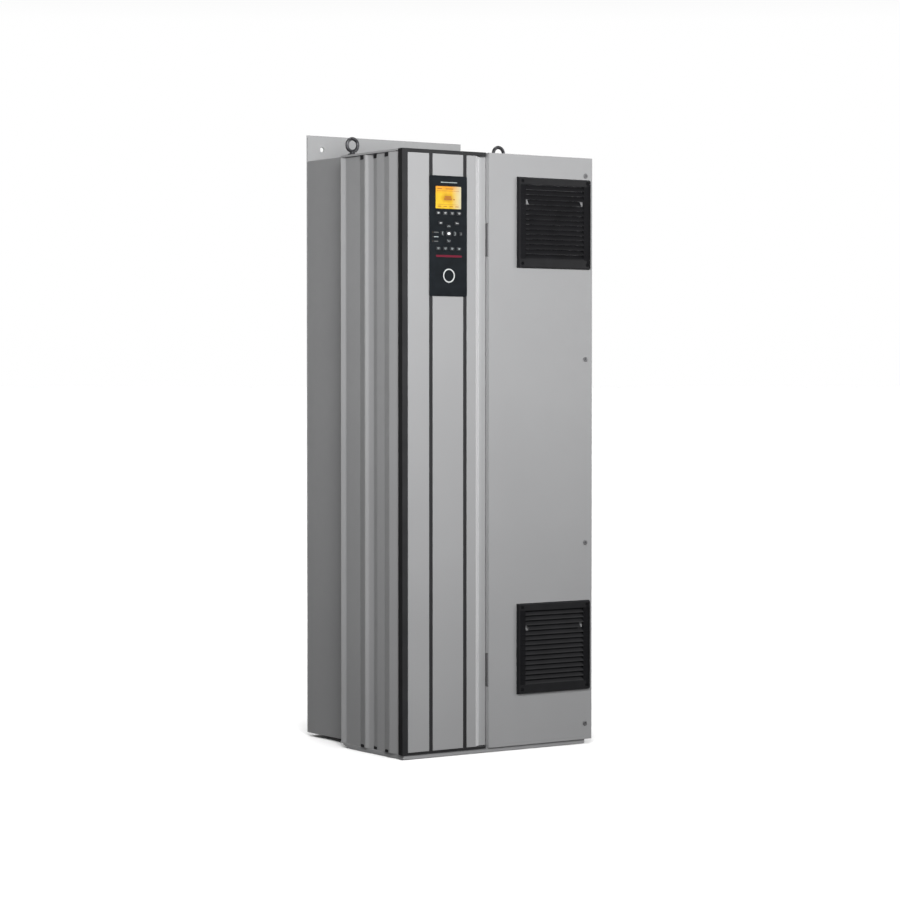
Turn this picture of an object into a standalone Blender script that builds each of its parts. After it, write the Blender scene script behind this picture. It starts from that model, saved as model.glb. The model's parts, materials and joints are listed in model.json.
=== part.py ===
"""Variable frequency drive: a tall wall drive in a steel cabinet, as separate pieces.

The scene is in metres, +Z up, with the origin at the middle of the base. The front faces -Y.
Sizes in this file are millimetres: x from the cabinet's left edge, d (depth) back from the
door's front face, and z up from the floor. place() turns them into metres in the scene.
"""

import math

import bmesh
import bpy
from mathutils import Matrix, Vector

MM = 0.001
GAP = 0.3  # left between pieces that rest on each other

# Driving dimensions
WIDTH = 420.0
BODY_DEPTH = 386.0  # door face to wall
GRILLE_PROUD = 6.0  # how far the grilles stand in front of the door
CABINET_TOP = 1087.0
FLANGE_TOP = 1139.6
MOUNT_HOLE = 9.0
CABINET_BACK = 207.3  # back of the front cabinet
CHANNEL_SIDE = 34.5  # how far the rear channel is set in on each side
CHANNEL_TOP = 1090.0
CHANNEL_BOTTOM = 6.5
DOOR_LEFT = 186.5
DOOR_BOTTOM = 8.3
SHEET = 2.0  # steel sheet

# Front layout
PANEL_DEPTH = 10.0  # door thickness, and the depth of the groove beside the door
DOOR_SWEEP = 6.0  # room that the door's hinge edge needs beside it as it swings
FRAME_FRONT = 14.5  # front of the sheet behind the door and the control cover
FRAME_TOP = 1083.0  # top of the cabinet's front, side and back sheets
TRAY_LINE = 0.6  # depth of the black lines between the strips
STRIP_THICK = 3.0
STRIP_TOP = 1080.0
STRIP_BOTTOM = 12.6
STRIP_1 = (11.7, 57.2)
STRIP_2 = (64.5, 130.6)
STRIP_3 = (137.9, 186.0)
FACET = (157.6, 170.4)  # strip 3 slopes back to the groove between these

# Door hinge, locks and grilles
HINGE_X = 188.8
HINGE_D = 5.5
HINGE_HEIGHTS = {"upper": 930.0, "lower": 150.0}
KNUCKLE_HALF = 30.0
LOCK_X = 404.5
LOCK_HEIGHTS = (1054.0, 715.0, 375.0, 38.0)
LOCK_REACH = 14.0
LOCK_TONGUE = 4.8
GRILLE_X = (248.0, 414.0)
GRILLE_BOTTOMS = {"upper": 880.5, "lower": 101.8}
GRILLE_SIZE = 166.0
LOUVRES = 15
LOUVRE_PITCH = 9.1
MAT_SIZE = 108.6
FAN_SIZE = 116.0

# Keypad
KEYPAD_X = (57.4, 137.2)
KEYPAD_Z = (826.3, 1041.2)
KEYPAD_FACE = -2.0
KEYPAD_BODY = (67.5, 127.5)
KEYPAD_WINDOW = (67.0, 128.0)
KEYPAD_WINDOW_Z = (834.0, 1034.0)
KEYPAD_MIDDLE = 97.3
KEY_PROUD = 1.0
KEY_SLACK = 0.35
SCREEN_X = (70.0, 124.6)
SCREEN_Z = (982.5, 1022.4)
OUTER_COLUMN = 22.35  # from the keypad's middle to the outer key columns
INNER_COLUMN = 7.45
SIDE_KEY = 17.4  # back and cancel
ARROW_KEY = 13.5  # left and right arrows
ROW_TOP = 974.4
ROW_UPPER = 956.8
ROW_UP = 951.3
ROW_MIDDLE = 938.2
ROW_DOWN = 924.9
ROW_BOTTOM = 911.3
WIDE_KEY = (9.4, 5.8)
ARROW_TALL = (7.0, 6.6)
ARROW_WIDE = (9.0, 5.6)
KEYS = {
    "key_status": (-OUTER_COLUMN, ROW_TOP, WIDE_KEY),
    "key_quick_menu": (-INNER_COLUMN, ROW_TOP, WIDE_KEY),
    "key_main_menu": (INNER_COLUMN, ROW_TOP, WIDE_KEY),
    "key_alarm_log": (OUTER_COLUMN, ROW_TOP, WIDE_KEY),
    "key_back": (-SIDE_KEY, ROW_UPPER, WIDE_KEY),
    "key_cancel": (SIDE_KEY, ROW_UPPER, WIDE_KEY),
    "key_up": (0.0, ROW_UP, ARROW_WIDE),
    "key_left": (-ARROW_KEY, ROW_MIDDLE, ARROW_TALL),
    "key_ok": (0.0, ROW_MIDDLE, (11.0, 9.0)),
    "key_right": (ARROW_KEY, ROW_MIDDLE, ARROW_TALL),
    "key_info": (26.3, ROW_MIDDLE, (6.0, 6.0)),
    "key_down": (0.0, ROW_DOWN, ARROW_WIDE),
    "key_hand_on": (-OUTER_COLUMN, ROW_BOTTOM, WIDE_KEY),
    "key_off": (-INNER_COLUMN, ROW_BOTTOM, WIDE_KEY),
    "key_auto_on": (INNER_COLUMN, ROW_BOTTOM, WIDE_KEY),
    "key_reset": (OUTER_COLUMN, ROW_BOTTOM, WIDE_KEY),
}

# Inside
CONTROL_BAY = (30.0, 160.0)  # openings in the front frame
DOOR_BAY = (212.0, 391.5)
WINDOW_X = (108.0, 312.0)  # opening from the cabinet to the heat sink
WINDOW_Z = (392.0, 808.0)
CABLE_X = (70.0, 350.0)  # cable opening in the base
CABLE_D = (50.0, 160.0)
HEAT_SINK_FRONT = 209.9
WALL_FACE = 205.0  # where parts on the cabinet's back wall end
FAN_AXIS = (210.0, 296.0)  # heat sink fan
FAN_PLATE_Z = 250.0
FAN_MOUTH = 75.0

PARTS = bpy.data.collections.new("variable_frequency_drive")
CUTTERS = bpy.data.collections.new("cutters")


def clear_scene():
    for obj in list(bpy.data.objects):
        bpy.data.objects.remove(obj, do_unlink=True)
    bpy.context.scene.collection.children.link(PARTS)
    bpy.context.scene.collection.children.link(CUTTERS)


def place(x, d, z):
    """A point in metres from the sizes' own corner."""
    middle_depth = (BODY_DEPTH - GRILLE_PROUD) / 2
    return Vector((x - WIDTH / 2, d - middle_depth, z)) * MM


def material(name, colour, roughness, metallic=0.0):
    found = bpy.data.materials.get(name)
    if found:
        return found
    made = bpy.data.materials.new(name)
    made.use_nodes = True
    shader = made.node_tree.nodes["Principled BSDF"]
    shader.inputs["Base Color"].default_value = (*colour, 1.0)
    shader.inputs["Roughness"].default_value = roughness
    shader.inputs["Metallic"].default_value = metallic
    return made


def grey_paint():
    return material("grey_paint", (0.50, 0.50, 0.51), 0.45)


def plated_steel():
    return material("plated_steel", (0.55, 0.55, 0.56), 0.35, 1.0)


def black_plastic():
    return material("black_plastic", (0.030, 0.030, 0.034), 0.45)


def dark_steel():
    return material("dark_steel", (0.06, 0.06, 0.065), 0.4, 0.8)


def aluminium():
    return material("aluminium", (0.70, 0.71, 0.73), 0.35, 1.0)


def key_rubber():
    return material("key_rubber", (0.045, 0.047, 0.052), 0.6)


def amber_screen():
    return material("amber_screen", (1.0, 0.55, 0.03), 0.2)


def filter_felt():
    return material("filter_felt", (0.72, 0.72, 0.68), 0.95)


def circuit_board():
    return material("circuit_board", (0.02, 0.16, 0.07), 0.5)


def component_plastic():
    return material("component_plastic", (0.10, 0.11, 0.13), 0.5)


def capacitor_sleeve():
    return material("capacitor_sleeve", (0.04, 0.05, 0.09), 0.4)


def copper():
    return material("copper", (0.72, 0.35, 0.18), 0.35, 1.0)


def box(x, d, z, turn=None):
    """A closed box between three (low, high) pairs, turned about its middle."""
    shape = bmesh.new()
    bmesh.ops.create_cube(shape, size=1.0)
    size = Vector((x[1] - x[0], d[1] - d[0], z[1] - z[0])) * MM
    middle = place(sum(x) / 2, sum(d) / 2, sum(z) / 2)
    spin = turn if turn else Matrix.Identity(4)
    shape.transform(Matrix.Translation(middle) @ spin @ Matrix.Diagonal((*size, 1.0)))
    return shape


def rod(start, end, radius, sides=24):
    """A closed cylinder between two points."""
    low = place(*start)
    span = place(*end) - low
    shape = bmesh.new()
    bmesh.ops.create_cone(
        shape,
        cap_ends=True,
        segments=sides,
        radius1=radius * MM,
        radius2=radius * MM,
        depth=span.length,
    )
    turn = Vector((0, 0, 1)).rotation_difference(span).to_matrix().to_4x4()
    shape.transform(Matrix.Translation(low + span / 2) @ turn)
    return shape


def mesh_from(name, shapes):
    joined = bmesh.new()
    for shape in shapes:
        part = bpy.data.meshes.new("part")
        shape.to_mesh(part)
        shape.free()
        joined.from_mesh(part)
        bpy.data.meshes.remove(part)
    mesh = bpy.data.meshes.new(name)
    joined.to_mesh(mesh)
    joined.free()
    return mesh


def object_from(name, mesh, collection):
    obj = bpy.data.objects.new(name, mesh)
    collection.objects.link(obj)
    return obj


def combine(obj, operation, shapes):
    tool_name = f"{obj.name}_{operation.lower()}_{len(obj.modifiers)}"
    tool = object_from(tool_name, mesh_from(tool_name, shapes), CUTTERS)
    tool.hide_render = True
    tool.display_type = "WIRE"
    boolean = obj.modifiers.new(operation.title(), "BOOLEAN")
    boolean.operation = operation
    boolean.solver = "EXACT"
    boolean.use_self = True
    boolean.object = tool


def cut(obj, *shapes):
    combine(obj, "DIFFERENCE", shapes)


def add(obj, *shapes):
    combine(obj, "UNION", shapes)


def make(name, finish, first, *others):
    """A piece from one closed shape, joined with any others that overlap it."""
    obj = object_from(name, mesh_from(name, [first]), PARTS)
    obj.data.materials.append(finish)
    obj.data.shade_smooth()
    obj.data.set_sharp_from_angle(angle=math.radians(30))
    if others:
        add(obj, *others)
    return obj


def prism(name, finish, outline, z):
    """An upright piece with the outline [(x, d), ...] between two heights."""
    curve = bpy.data.curves.new(name, "CURVE")
    curve.dimensions = "2D"
    curve.fill_mode = "BOTH"
    curve.extrude = (z[1] - z[0]) / 2 * MM
    spline = curve.splines.new("POLY")
    spline.points.add(len(outline) - 1)
    for point, (x, d) in zip(spline.points, outline):
        point.co = (*place(x, d, 0).xy, 0.0, 1.0)
    spline.use_cyclic_u = True
    curve.materials.append(finish)
    obj = object_from(name, curve, PARTS)
    obj.location = (0.0, 0.0, sum(z) / 2 * MM)
    return obj


def axis_at(name, point, parent=None):
    """An empty on a joint's axis."""
    empty = bpy.data.objects.new(name, None)
    empty.empty_display_size = 0.02
    PARTS.objects.link(empty)
    empty.location = place(*point)
    if parent:
        empty.location -= world_of(parent)
        empty.parent = parent
    return empty


def world_of(empty):
    """Where an unrotated empty is in the scene, through its parents."""
    spot = empty.location.copy()
    if empty.parent:
        spot += world_of(empty.parent)
    return spot


def hang_on(empty, *pieces):
    """Parents each piece to an empty and keeps it where it is."""
    for piece in pieces:
        piece.parent = empty
        piece.matrix_parent_inverse = Matrix.Translation(-world_of(empty))


def mirrored(x):
    return (WIDTH - x[1], WIDTH - x[0])


# Rear channel, back plate and cooling


def back_plate():
    wall = (BODY_DEPTH - 3, BODY_DEPTH)
    sides = (CHANNEL_SIDE, WIDTH - CHANNEL_SIDE)
    plate = make(
        "back_plate",
        grey_paint(),
        box(sides, wall, (CHANNEL_BOTTOM, FLANGE_TOP)),
        box((90, 330), wall, (0, 20)),
    )
    hole_x = (67, WIDTH - 67)
    hole_z = (40, FLANGE_TOP - 26)
    through = (BODY_DEPTH - 10, BODY_DEPTH + 10)
    holes = []
    for x in hole_x:
        for z in hole_z:
            holes.append(rod((x, through[0], z), (x, through[1], z), MOUNT_HOLE / 2, 20))
    cut(plate, *holes)


def rear_channel():
    """A steel channel, open above and below, with a window for the heat sink."""
    front = CABINET_BACK + GAP
    back = BODY_DEPTH - 3 - GAP
    outer = (CHANNEL_SIDE, WIDTH - CHANNEL_SIDE)
    inner = (outer[0] + SHEET, outer[1] - SHEET)
    open_ends = (-10, CHANNEL_TOP + 10)
    channel = make(
        "rear_channel", grey_paint(), box(outer, (front, back), (CHANNEL_BOTTOM, CHANNEL_TOP))
    )
    cut(channel, box(inner, (front + SHEET, back - SHEET), open_ends))
    cut(channel, box((inner[0] + 12, inner[1] - 12), (back - 10, back + 10), open_ends))
    cut(channel, box(WINDOW_X, (front - 5, front + 5), WINDOW_Z))
    pad = ((outer[0] + 0.5, 72), (front + 0.5, 278), (CHANNEL_TOP - 5, CHANNEL_TOP))
    add(channel, box(*pad), box(mirrored(pad[0]), pad[1], pad[2]))
    cut(channel, *[rod((x, 239, 1070), (x, 239, 1100), 5.2, 16) for x in (45, WIDTH - 45)])


def lifting_eye(name, x):
    depth, ring_z = 239, 1111
    bpy.ops.mesh.primitive_torus_add(
        major_radius=11.7 * MM, minor_radius=3.2 * MM, major_segments=24, minor_segments=8
    )
    ring = bpy.context.object
    ring.name = name
    upright = Matrix.Rotation(math.pi / 2, 4, "X")
    ring.data.transform(Matrix.Translation(place(x, depth, ring_z)) @ upright)
    for collection in list(ring.users_collection):
        collection.objects.unlink(ring)
    PARTS.objects.link(ring)
    ring.data.materials.append(dark_steel())
    ring.data.shade_smooth()
    add(
        ring,
        rod((x, depth, 1082), (x, depth, 1099), 4.8, 16),
        rod((x, depth, CHANNEL_TOP + GAP), (x, depth, 1094.5), 9, 16),
    )


def heat_sink():
    """A base plate with upright fins in the rear channel, drawn as one comb outline."""
    sides, base_back, fin_back = (60, 360), HEAT_SINK_FRONT + 14, 345
    fins, thick = 14, 3.6
    pitch = (sides[1] - sides[0] - thick) / (fins - 1)
    comb = [(sides[0], HEAT_SINK_FRONT), (sides[1], HEAT_SINK_FRONT)]
    for fin in reversed(range(fins)):
        left = sides[0] + fin * pitch
        right = left + thick
        comb += [(right, base_back), (right, fin_back), (left, fin_back), (left, base_back)]
    prism("heat_sink", aluminium(), comb[:2] + comb[3:-1], (380, 880))


def heat_sink_fan():
    """A plate across the channel with a round mouth, spokes that hold the motor, and the rotor."""
    x, d = FAN_AXIS
    low, plate_top = FAN_PLATE_Z, FAN_PLATE_Z + 3
    spoke = (low - 4, low + 0.5)
    frame = make(
        "heat_sink_fan_frame",
        plated_steel(),
        box((37.5, WIDTH - 37.5), (HEAT_SINK_FRONT, 379), (low, plate_top)),
    )
    cut(frame, rod((x, d, low - 5), (x, d, plate_top + 5), FAN_MOUTH, 32))
    add(
        frame,
        box((x - 90, x + 90), (d - 5, d + 5), spoke),
        box((x - 5, x + 5), (d - 80, d + 80), spoke),
        rod((x, d, low - 6), (x, d, low + 1), 24, 24),
        rod((x, d, low), (x, d, plate_top + 0.7), 6, 12),
    )
    axis = axis_at("heat_sink_fan_axis", (x, d, low))
    start, end = plate_top + 1, plate_top + 32.5
    rotor = fan_rotor("heat_sink_fan_rotor", (x, d, start), (x, d, end), 26, FAN_MOUTH - 4, "Z")
    hang_on(axis, rotor)


def fan_rotor(name, start, end, hub, tip, axis):
    """A hub with seven pitched blades."""
    rotor = make(name, black_plastic(), rod(start, end, hub, 20))
    along = [(a + b) / 2 for a, b in zip(start, end)]
    blades = []
    for blade in range(7):
        middle = (hub - 3 + tip) / 2
        half = (tip - hub + 3) / 2
        shape = box(
            (WIDTH / 2 + middle - half, WIDTH / 2 + middle + half),
            ((BODY_DEPTH - GRILLE_PROUD) / 2 - 9, (BODY_DEPTH - GRILLE_PROUD) / 2 + 9),
            (-1, 1),
            Matrix.Rotation(math.radians(40), 4, "X"),
        )
        shape.transform(Matrix.Rotation(blade * math.tau / 7, 4, "Z"))
        if axis == "Y":
            shape.transform(Matrix.Rotation(math.pi / 2, 4, "X"))
        shape.transform(Matrix.Translation(place(*along)))
        blades.append(shape)
    add(rotor, *blades)
    return rotor


# Cabinet


def front_frame():
    """The sheet behind the door and the control cover, with a bay for each and slots for the locks."""
    height = (DOOR_BOTTOM, FRAME_TOP)
    bay_height = (36, 1060)
    frame = make(
        "front_frame", plated_steel(), box((8, WIDTH - 8), (FRAME_FRONT, FRAME_FRONT + SHEET), height)
    )
    through = (FRAME_FRONT - 5, FRAME_FRONT + 7)
    cut(frame, box(CONTROL_BAY, through, bay_height), box(DOOR_BAY, through, bay_height))
    slot_half = LOCK_TONGUE / 2 + 1.4
    across = (LOCK_X - slot_half, LOCK_X + slot_half)
    cut(frame, *[box(across, through, (z - 4, z + LOCK_REACH + 2)) for z in LOCK_HEIGHTS])


def back_wall():
    """The cabinet's back sheet, with a window through which the power modules meet the heat sink."""
    wall = (CABINET_BACK - SHEET, CABINET_BACK)
    sheet = make(
        "back_wall", plated_steel(), box((3.5, WIDTH - 3.5), wall, (DOOR_BOTTOM, FRAME_TOP))
    )
    cut(sheet, box(WINDOW_X, (wall[0] - 5, wall[1] + 5), WINDOW_Z))


def pleats():
    """The side cover's outer face as (depth, set-in) points from front to back."""
    return [
        (FRAME_FRONT, 6.0),
        (44.0, 0.0),
        (66.4, 5.0),
        (91.4, 5.0),
        (106.8, 8.0),
        (119.4, 5.0),
        (125.0, 0.0),
        (149.9, 6.0),
        (198.9, 6.0),
        (CABINET_BACK, 0.0),
    ]


def side_covers():
    thick = 1.6
    outside = [(x, d) for d, x in pleats()]
    inside = [(x + thick, d) for d, x in reversed(pleats())]
    left = outside + inside
    right = [(WIDTH - x, d) for x, d in reversed(left)]
    height = (DOOR_BOTTOM, FRAME_TOP)
    prism("side_cover_left", grey_paint(), left, height)
    prism("side_cover_right", grey_paint(), right, height)


def top_cover():
    height = (FRAME_TOP + GAP, CABINET_TOP)
    make("top_cover", grey_paint(), box((0, WIDTH), (FRAME_FRONT, CABINET_BACK), height))


def base_pan():
    """A shallow, set-in pan under the cabinet with a cable opening; its back edge is cut at a slant."""
    top = DOOR_BOTTOM - GAP
    x, d = (4, 406), (3.5, 207)
    pan = make("base_pan", grey_paint(), box(x, d, (0, top)))
    cut(pan, box((x[0] + SHEET, x[1] - SHEET), (d[0] + SHEET, d[1] - SHEET), (-5, top - SHEET)))
    cut(pan, box(CABLE_X, CABLE_D, (3, 20)))
    slant_start, slant_run, slant_rise = 182, 22, 4.6
    slant = math.atan2(slant_rise, slant_run)
    reach, thick = 40, 20
    middle_d = slant_start + slant_run / 2 + thick / 2 * math.sin(slant)
    middle_z = slant_rise / 2 - thick / 2 * math.cos(slant)
    cut(
        pan,
        box(
            (-20, WIDTH + 20),
            (middle_d - reach, middle_d + reach),
            (middle_z - thick / 2, middle_z + thick / 2),
            Matrix.Rotation(slant, 4, "X"),
        ),
    )
    make("gland_plate", plated_steel(), box((50, 370), (35, 175), (3.6, top - SHEET - GAP)))


def door_hinges():
    """Leaf, knuckle and pin, fixed to the post beside the door."""
    for side, z in HINGE_HEIGHTS.items():
        half = KNUCKLE_HALF
        make(
            f"door_hinge_{side}",
            dark_steel(),
            box((187.8, 206), (FRAME_FRONT - 1.5, FRAME_FRONT - GAP), (z - half, z + half)),
            box((HINGE_X - 1, HINGE_X + 1), (HINGE_D, FRAME_FRONT - 0.5), (z - half, z + half)),
            rod((HINGE_X, HINGE_D, z - half), (HINGE_X, HINGE_D, z + half), 2.6, 16),
            rod((HINGE_X, HINGE_D, z - half - 8), (HINGE_X, HINGE_D, z + half + 8), 1.4, 12),
        )


# Control cover on the left of the front


def control_cover():
    """The black tray that wraps the front left corner and holds the strips."""
    tray = make(
        "control_cover",
        black_plastic(),
        box((0, 186.2), (TRAY_LINE, FRAME_FRONT - GAP), (DOOR_BOTTOM, CABINET_TOP)),
    )
    bay_floor = STRIP_THICK + GAP
    bay_z = (STRIP_BOTTOM - GAP, STRIP_TOP + GAP)
    cut(
        tray,
        box(STRIP_1, (-5, bay_floor), bay_z),
        box(STRIP_2, (-5, bay_floor), bay_z),
        box((STRIP_3[0], 190), (-5, bay_floor), bay_z),
    )
    deep_floor = PANEL_DEPTH + STRIP_THICK - 1 + GAP
    cut(tray, box((154, 190), (-5, deep_floor), bay_z))
    cut(tray, box((DOOR_LEFT - DOOR_SWEEP, 190), (-5, deep_floor), (0, FLANGE_TOP)))
    cut(tray, box((14, 150), (bay_floor + 2.7, 30), (24, 1073)))
    cut(tray, box(KEYPAD_WINDOW, (-5, 30), KEYPAD_WINDOW_Z))


def strips():
    """Three flat grey strips; the third slopes back into the groove beside the door."""
    height = (STRIP_BOTTOM, STRIP_TOP)
    flat = (0, STRIP_THICK)
    make("strip_1", grey_paint(), box((STRIP_1[0] + GAP, STRIP_1[1] - GAP), flat, height))
    second = make("strip_2", grey_paint(), box((STRIP_2[0] + GAP, STRIP_2[1] - GAP), flat, height))
    cut(second, box(KEYPAD_WINDOW, (-5, 10), KEYPAD_WINDOW_Z))
    thick = 2.0
    left, right = STRIP_3[0] + GAP, STRIP_3[1]
    outline = [
        (left, 0),
        (FACET[0], 0),
        (FACET[1], PANEL_DEPTH),
        (right, PANEL_DEPTH),
        (right, PANEL_DEPTH + thick),
        (FACET[1] - 1, PANEL_DEPTH + thick),
        (FACET[0] - 1, thick),
        (left, thick),
    ]
    prism("strip_3", grey_paint(), outline, height)


def keypad_cradle():
    """The tub behind the control cover that the keypad plugs into."""
    front, back = 6.3, 25.0
    tub = make(
        "keypad_cradle",
        black_plastic(),
        box((64.5, 130.5), (front, back), (831.5, 1036.5)),
        box((58, 137), (front, front + 2), (828, 1040)),
    )
    cut(tub, box(KEYPAD_WINDOW, (-5, back - 2), KEYPAD_WINDOW_Z))


def keypad():
    """The hand-held operator panel with its screen and keys."""
    axis = axis_at("keypad_axis", (KEYPAD_MIDDLE, 0, 940))
    body = make(
        "keypad_body",
        black_plastic(),
        box(KEYPAD_X, (KEYPAD_FACE, -GAP), KEYPAD_Z),
        box(KEYPAD_BODY, (-1, 22.4), (834.5, 1033.5)),
    )
    lens_gap = 0.3
    cut(
        body,
        box(
            (SCREEN_X[0] - lens_gap, SCREEN_X[1] + lens_gap),
            (-5, 0.2),
            (SCREEN_Z[0] - lens_gap, SCREEN_Z[1] + lens_gap),
        ),
    )
    pockets = []
    for offset, z, size in KEYS.values():
        pockets.append(key_box(offset, z, size, KEY_SLACK, (-5, 2.7)))
    cut(body, *pockets)
    screen_depth = (KEYPAD_FACE + 0.3, -0.1)
    screen = make("keypad_screen", amber_screen(), box(SCREEN_X, screen_depth, SCREEN_Z))
    hang_on(axis, body, screen)
    for name, (offset, z, size) in KEYS.items():
        key_axis = axis_at(f"{name}_axis", (KEYPAD_MIDDLE + offset, 0, z), axis)
        depth = (KEYPAD_FACE - KEY_PROUD, 1.6)
        hang_on(key_axis, make(name, key_rubber(), key_box(offset, z, size, 0.0, depth)))


def key_box(offset, z, size, slack, depth):
    x = KEYPAD_MIDDLE + offset
    half_wide = size[0] / 2 + slack
    half_tall = size[1] / 2 + slack
    return box((x - half_wide, x + half_wide), depth, (z - half_tall, z + half_tall))


# Door


def door_panel(axis):
    """A sheet panel on a stiff rim, open behind, with openings for the filter mats."""
    height = (DOOR_BOTTOM, CABINET_TOP)
    door = make("door_panel", grey_paint(), box((DOOR_LEFT, WIDTH), (0, PANEL_DEPTH), height))
    cut(door, box((216, 391), (1.6, PANEL_DEPTH + 5), (36, 1060)))
    middle = sum(GRILLE_X) / 2
    half = MAT_SIZE / 2 + GAP
    openings = []
    for bottom in GRILLE_BOTTOMS.values():
        z = bottom + GRILLE_SIZE / 2
        openings.append(box((middle - half, middle + half), (-5, 5), (z - half, z + half)))
    cut(door, *openings)
    cut(door, *[rod((LOCK_X, -5, z), (LOCK_X, 20, z), 2.9, 16) for z in LOCK_HEIGHTS])
    reach = KNUCKLE_HALF + 0.8
    for z in HINGE_HEIGHTS.values():
        cut(door, box((180, 197), (1.9, 20), (z - reach, z + reach)))
        cut(
            door,
            rod((HINGE_X, HINGE_D, z - reach - 9), (HINGE_X, HINGE_D, z + reach + 9), 1.7, 12),
        )
    hang_on(axis, door)


def door_locks(axis):
    """Quarter-turn locks: a head, a shank and a tongue that turns behind the frame."""
    half = LOCK_TONGUE / 2
    tongue_d = (FRAME_FRONT + 4.5, FRAME_FRONT + 7)
    for number, z in enumerate(LOCK_HEIGHTS, 1):
        lock = make(
            f"door_lock_{number}",
            dark_steel(),
            rod((LOCK_X, -1.8, z), (LOCK_X, -GAP, z), 4.5, 20),
            rod((LOCK_X, -1, z), (LOCK_X, tongue_d[1], z), half, 16),
            box((LOCK_X - half, LOCK_X + half), tongue_d, (z, z + LOCK_REACH)),
        )
        hang_on(axis_at(f"door_lock_{number}_axis", (LOCK_X, 0, z), axis), lock)


def grille(side, bottom, axis):
    """A square louvred cover that tilts out about its bottom edge."""
    top = bottom + GRILLE_SIZE
    cover = make(
        f"{side}_grille", black_plastic(), box(GRILLE_X, (-GRILLE_PROUD, -GAP), (bottom, top))
    )
    first = bottom + 17 + LOUVRE_PITCH / 2
    slots = []
    for slot in range(LOUVRES):
        z = first + slot * LOUVRE_PITCH
        slots.append(
            box(
                (GRILLE_X[0] + 17, GRILLE_X[1] - 17),
                (-GRILLE_PROUD / 2 - 8, -GRILLE_PROUD / 2 + 8),
                (z - 2, z + 2),
                Matrix.Rotation(math.radians(-25), 4, "X"),
            )
        )
    cut(cover, *slots)
    hang_on(axis_at(f"{side}_grille_axis", (sum(GRILLE_X) / 2, -GAP, bottom), axis), cover)


def filter_mat(side, bottom, axis):
    middle, half = sum(GRILLE_X) / 2, MAT_SIZE / 2
    z = bottom + GRILLE_SIZE / 2
    across, upright = (middle - half, middle + half), (z - half, z + half)
    hang_on(axis, make(f"{side}_filter_mat", filter_felt(), box(across, (0, 8), upright)))


def door_fan(axis):
    """The exhaust fan on the back of the door, behind the upper filter mat."""
    x = sum(GRILLE_X) / 2
    z = GRILLE_BOTTOMS["upper"] + GRILLE_SIZE / 2
    half, front, back = FAN_SIZE / 2, 8.5, 32.0
    posts = []
    for side in (-1, 1):
        for end in (-1, 1):
            post_x, post_z = x + side * (half - 1.8), z + end * (half - 1.8)
            across, upright = (post_x - 1.4, post_x + 1.4), (post_z - 1.4, post_z + 1.4)
            posts.append(box(across, (1.9, front + 1), upright))
    square = box((x - half, x + half), (front, back), (z - half, z + half))
    frame = make("door_fan_frame", black_plastic(), square)
    cut(frame, rod((x, 0, z), (x, 50, z), 53, 32))
    add(
        frame,
        *posts,
        box((x - half + 2, x + half - 2), (back - 3, back - 0.2), (z - 3, z + 3)),
        box((x - 3, x + 3), (back - 3, back - 0.2), (z - half + 2, z + half - 2)),
        rod((x, back - 4, z), (x, back - 0.1, z), 20, 24),
    )
    hang_on(axis, frame)
    rotor = fan_rotor("door_fan_rotor", (x, front + 1, z), (x, back - 4 - GAP, z), 19, 50, "Y")
    hang_on(axis_at("door_fan_axis", (x, front, z), axis), rotor)


def door():
    axis = axis_at("door_axis", (HINGE_X, HINGE_D, 0))
    door_panel(axis)
    door_locks(axis)
    for side, bottom in GRILLE_BOTTOMS.items():
        grille(side, bottom, axis)
        filter_mat(side, bottom, axis)
    door_fan(axis)


# Power parts inside the cabinet


def power_modules():
    """Rectifier and inverter modules, bolted to the heat sink through the window."""
    foot = HEAT_SINK_FRONT - GAP
    for name, x, z in (
        ("inverter_module", (129, 291), (440, 562)),
        ("rectifier_module", (139, 281), (640, 742)),
    ):
        module = make(name, component_plastic(), box(x, (foot - 18, foot), z))
        raised = box((x[0] + 14, x[1] - 14), (foot - 24, foot - 17), (z[0] + 22, z[1] - 22))
        add(module, raised)


def capacitor_bank():
    """Eight cans on one plate."""
    front, radius = 106, 30
    plate = make("capacitor_bank", capacitor_sleeve(), box((72, 348), (200, WALL_FACE), (832, 1038)))
    cans = []
    for x in (108, 176, 244, 312):
        for z in (884, 986):
            cans.append(rod((x, front, z), (x, 201, z), radius, 20))
    add(plate, *cans)


def dc_choke():
    """A core with two coils that stand out of it."""
    core = make("dc_choke", dark_steel(), box((228, 372), (130, WALL_FACE), (222, 338)))
    coils = [box(x, (112, 204), (242, 318)) for x in ((246, 292), (308, 354))]
    add(core, *coils)


def emi_filter():
    """A can with three studs in and three out."""
    can = make("emi_filter", plated_steel(), box((40, 190), (125, WALL_FACE), (222, 338)))
    studs = []
    for x in (70, 115, 160):
        for z in (240, 320):
            studs.append(rod((x, 105, z), (x, 126, z), 4, 12))
    add(can, *studs)


def terminal_block(name, left):
    """Three studs between insulating barriers."""
    face, pitch, thick = 160, 45.5, 3.5
    block = make(name, component_plastic(), box((left, left + 140), (face, WALL_FACE), (105, 165)))
    for barrier in range(4):
        x = left + barrier * pitch
        add(block, box((x, x + thick), (138, face + 1), (105.5, 164.5)))
    for stud in range(3):
        x = left + thick / 2 + (stud + 0.5) * pitch
        add(block, rod((x, 140, 135), (x, face + 1, 135), 5, 12))


def ground_bar():
    """A bar with six bolts for the earth leads."""
    bar = make("ground_bar", copper(), box((60, 360), (195, WALL_FACE), (48, 72)))
    add(bar, *[rod((x, 180, 60), (x, 196, 60), 4, 12) for x in range(85, 360, 50)])


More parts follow.
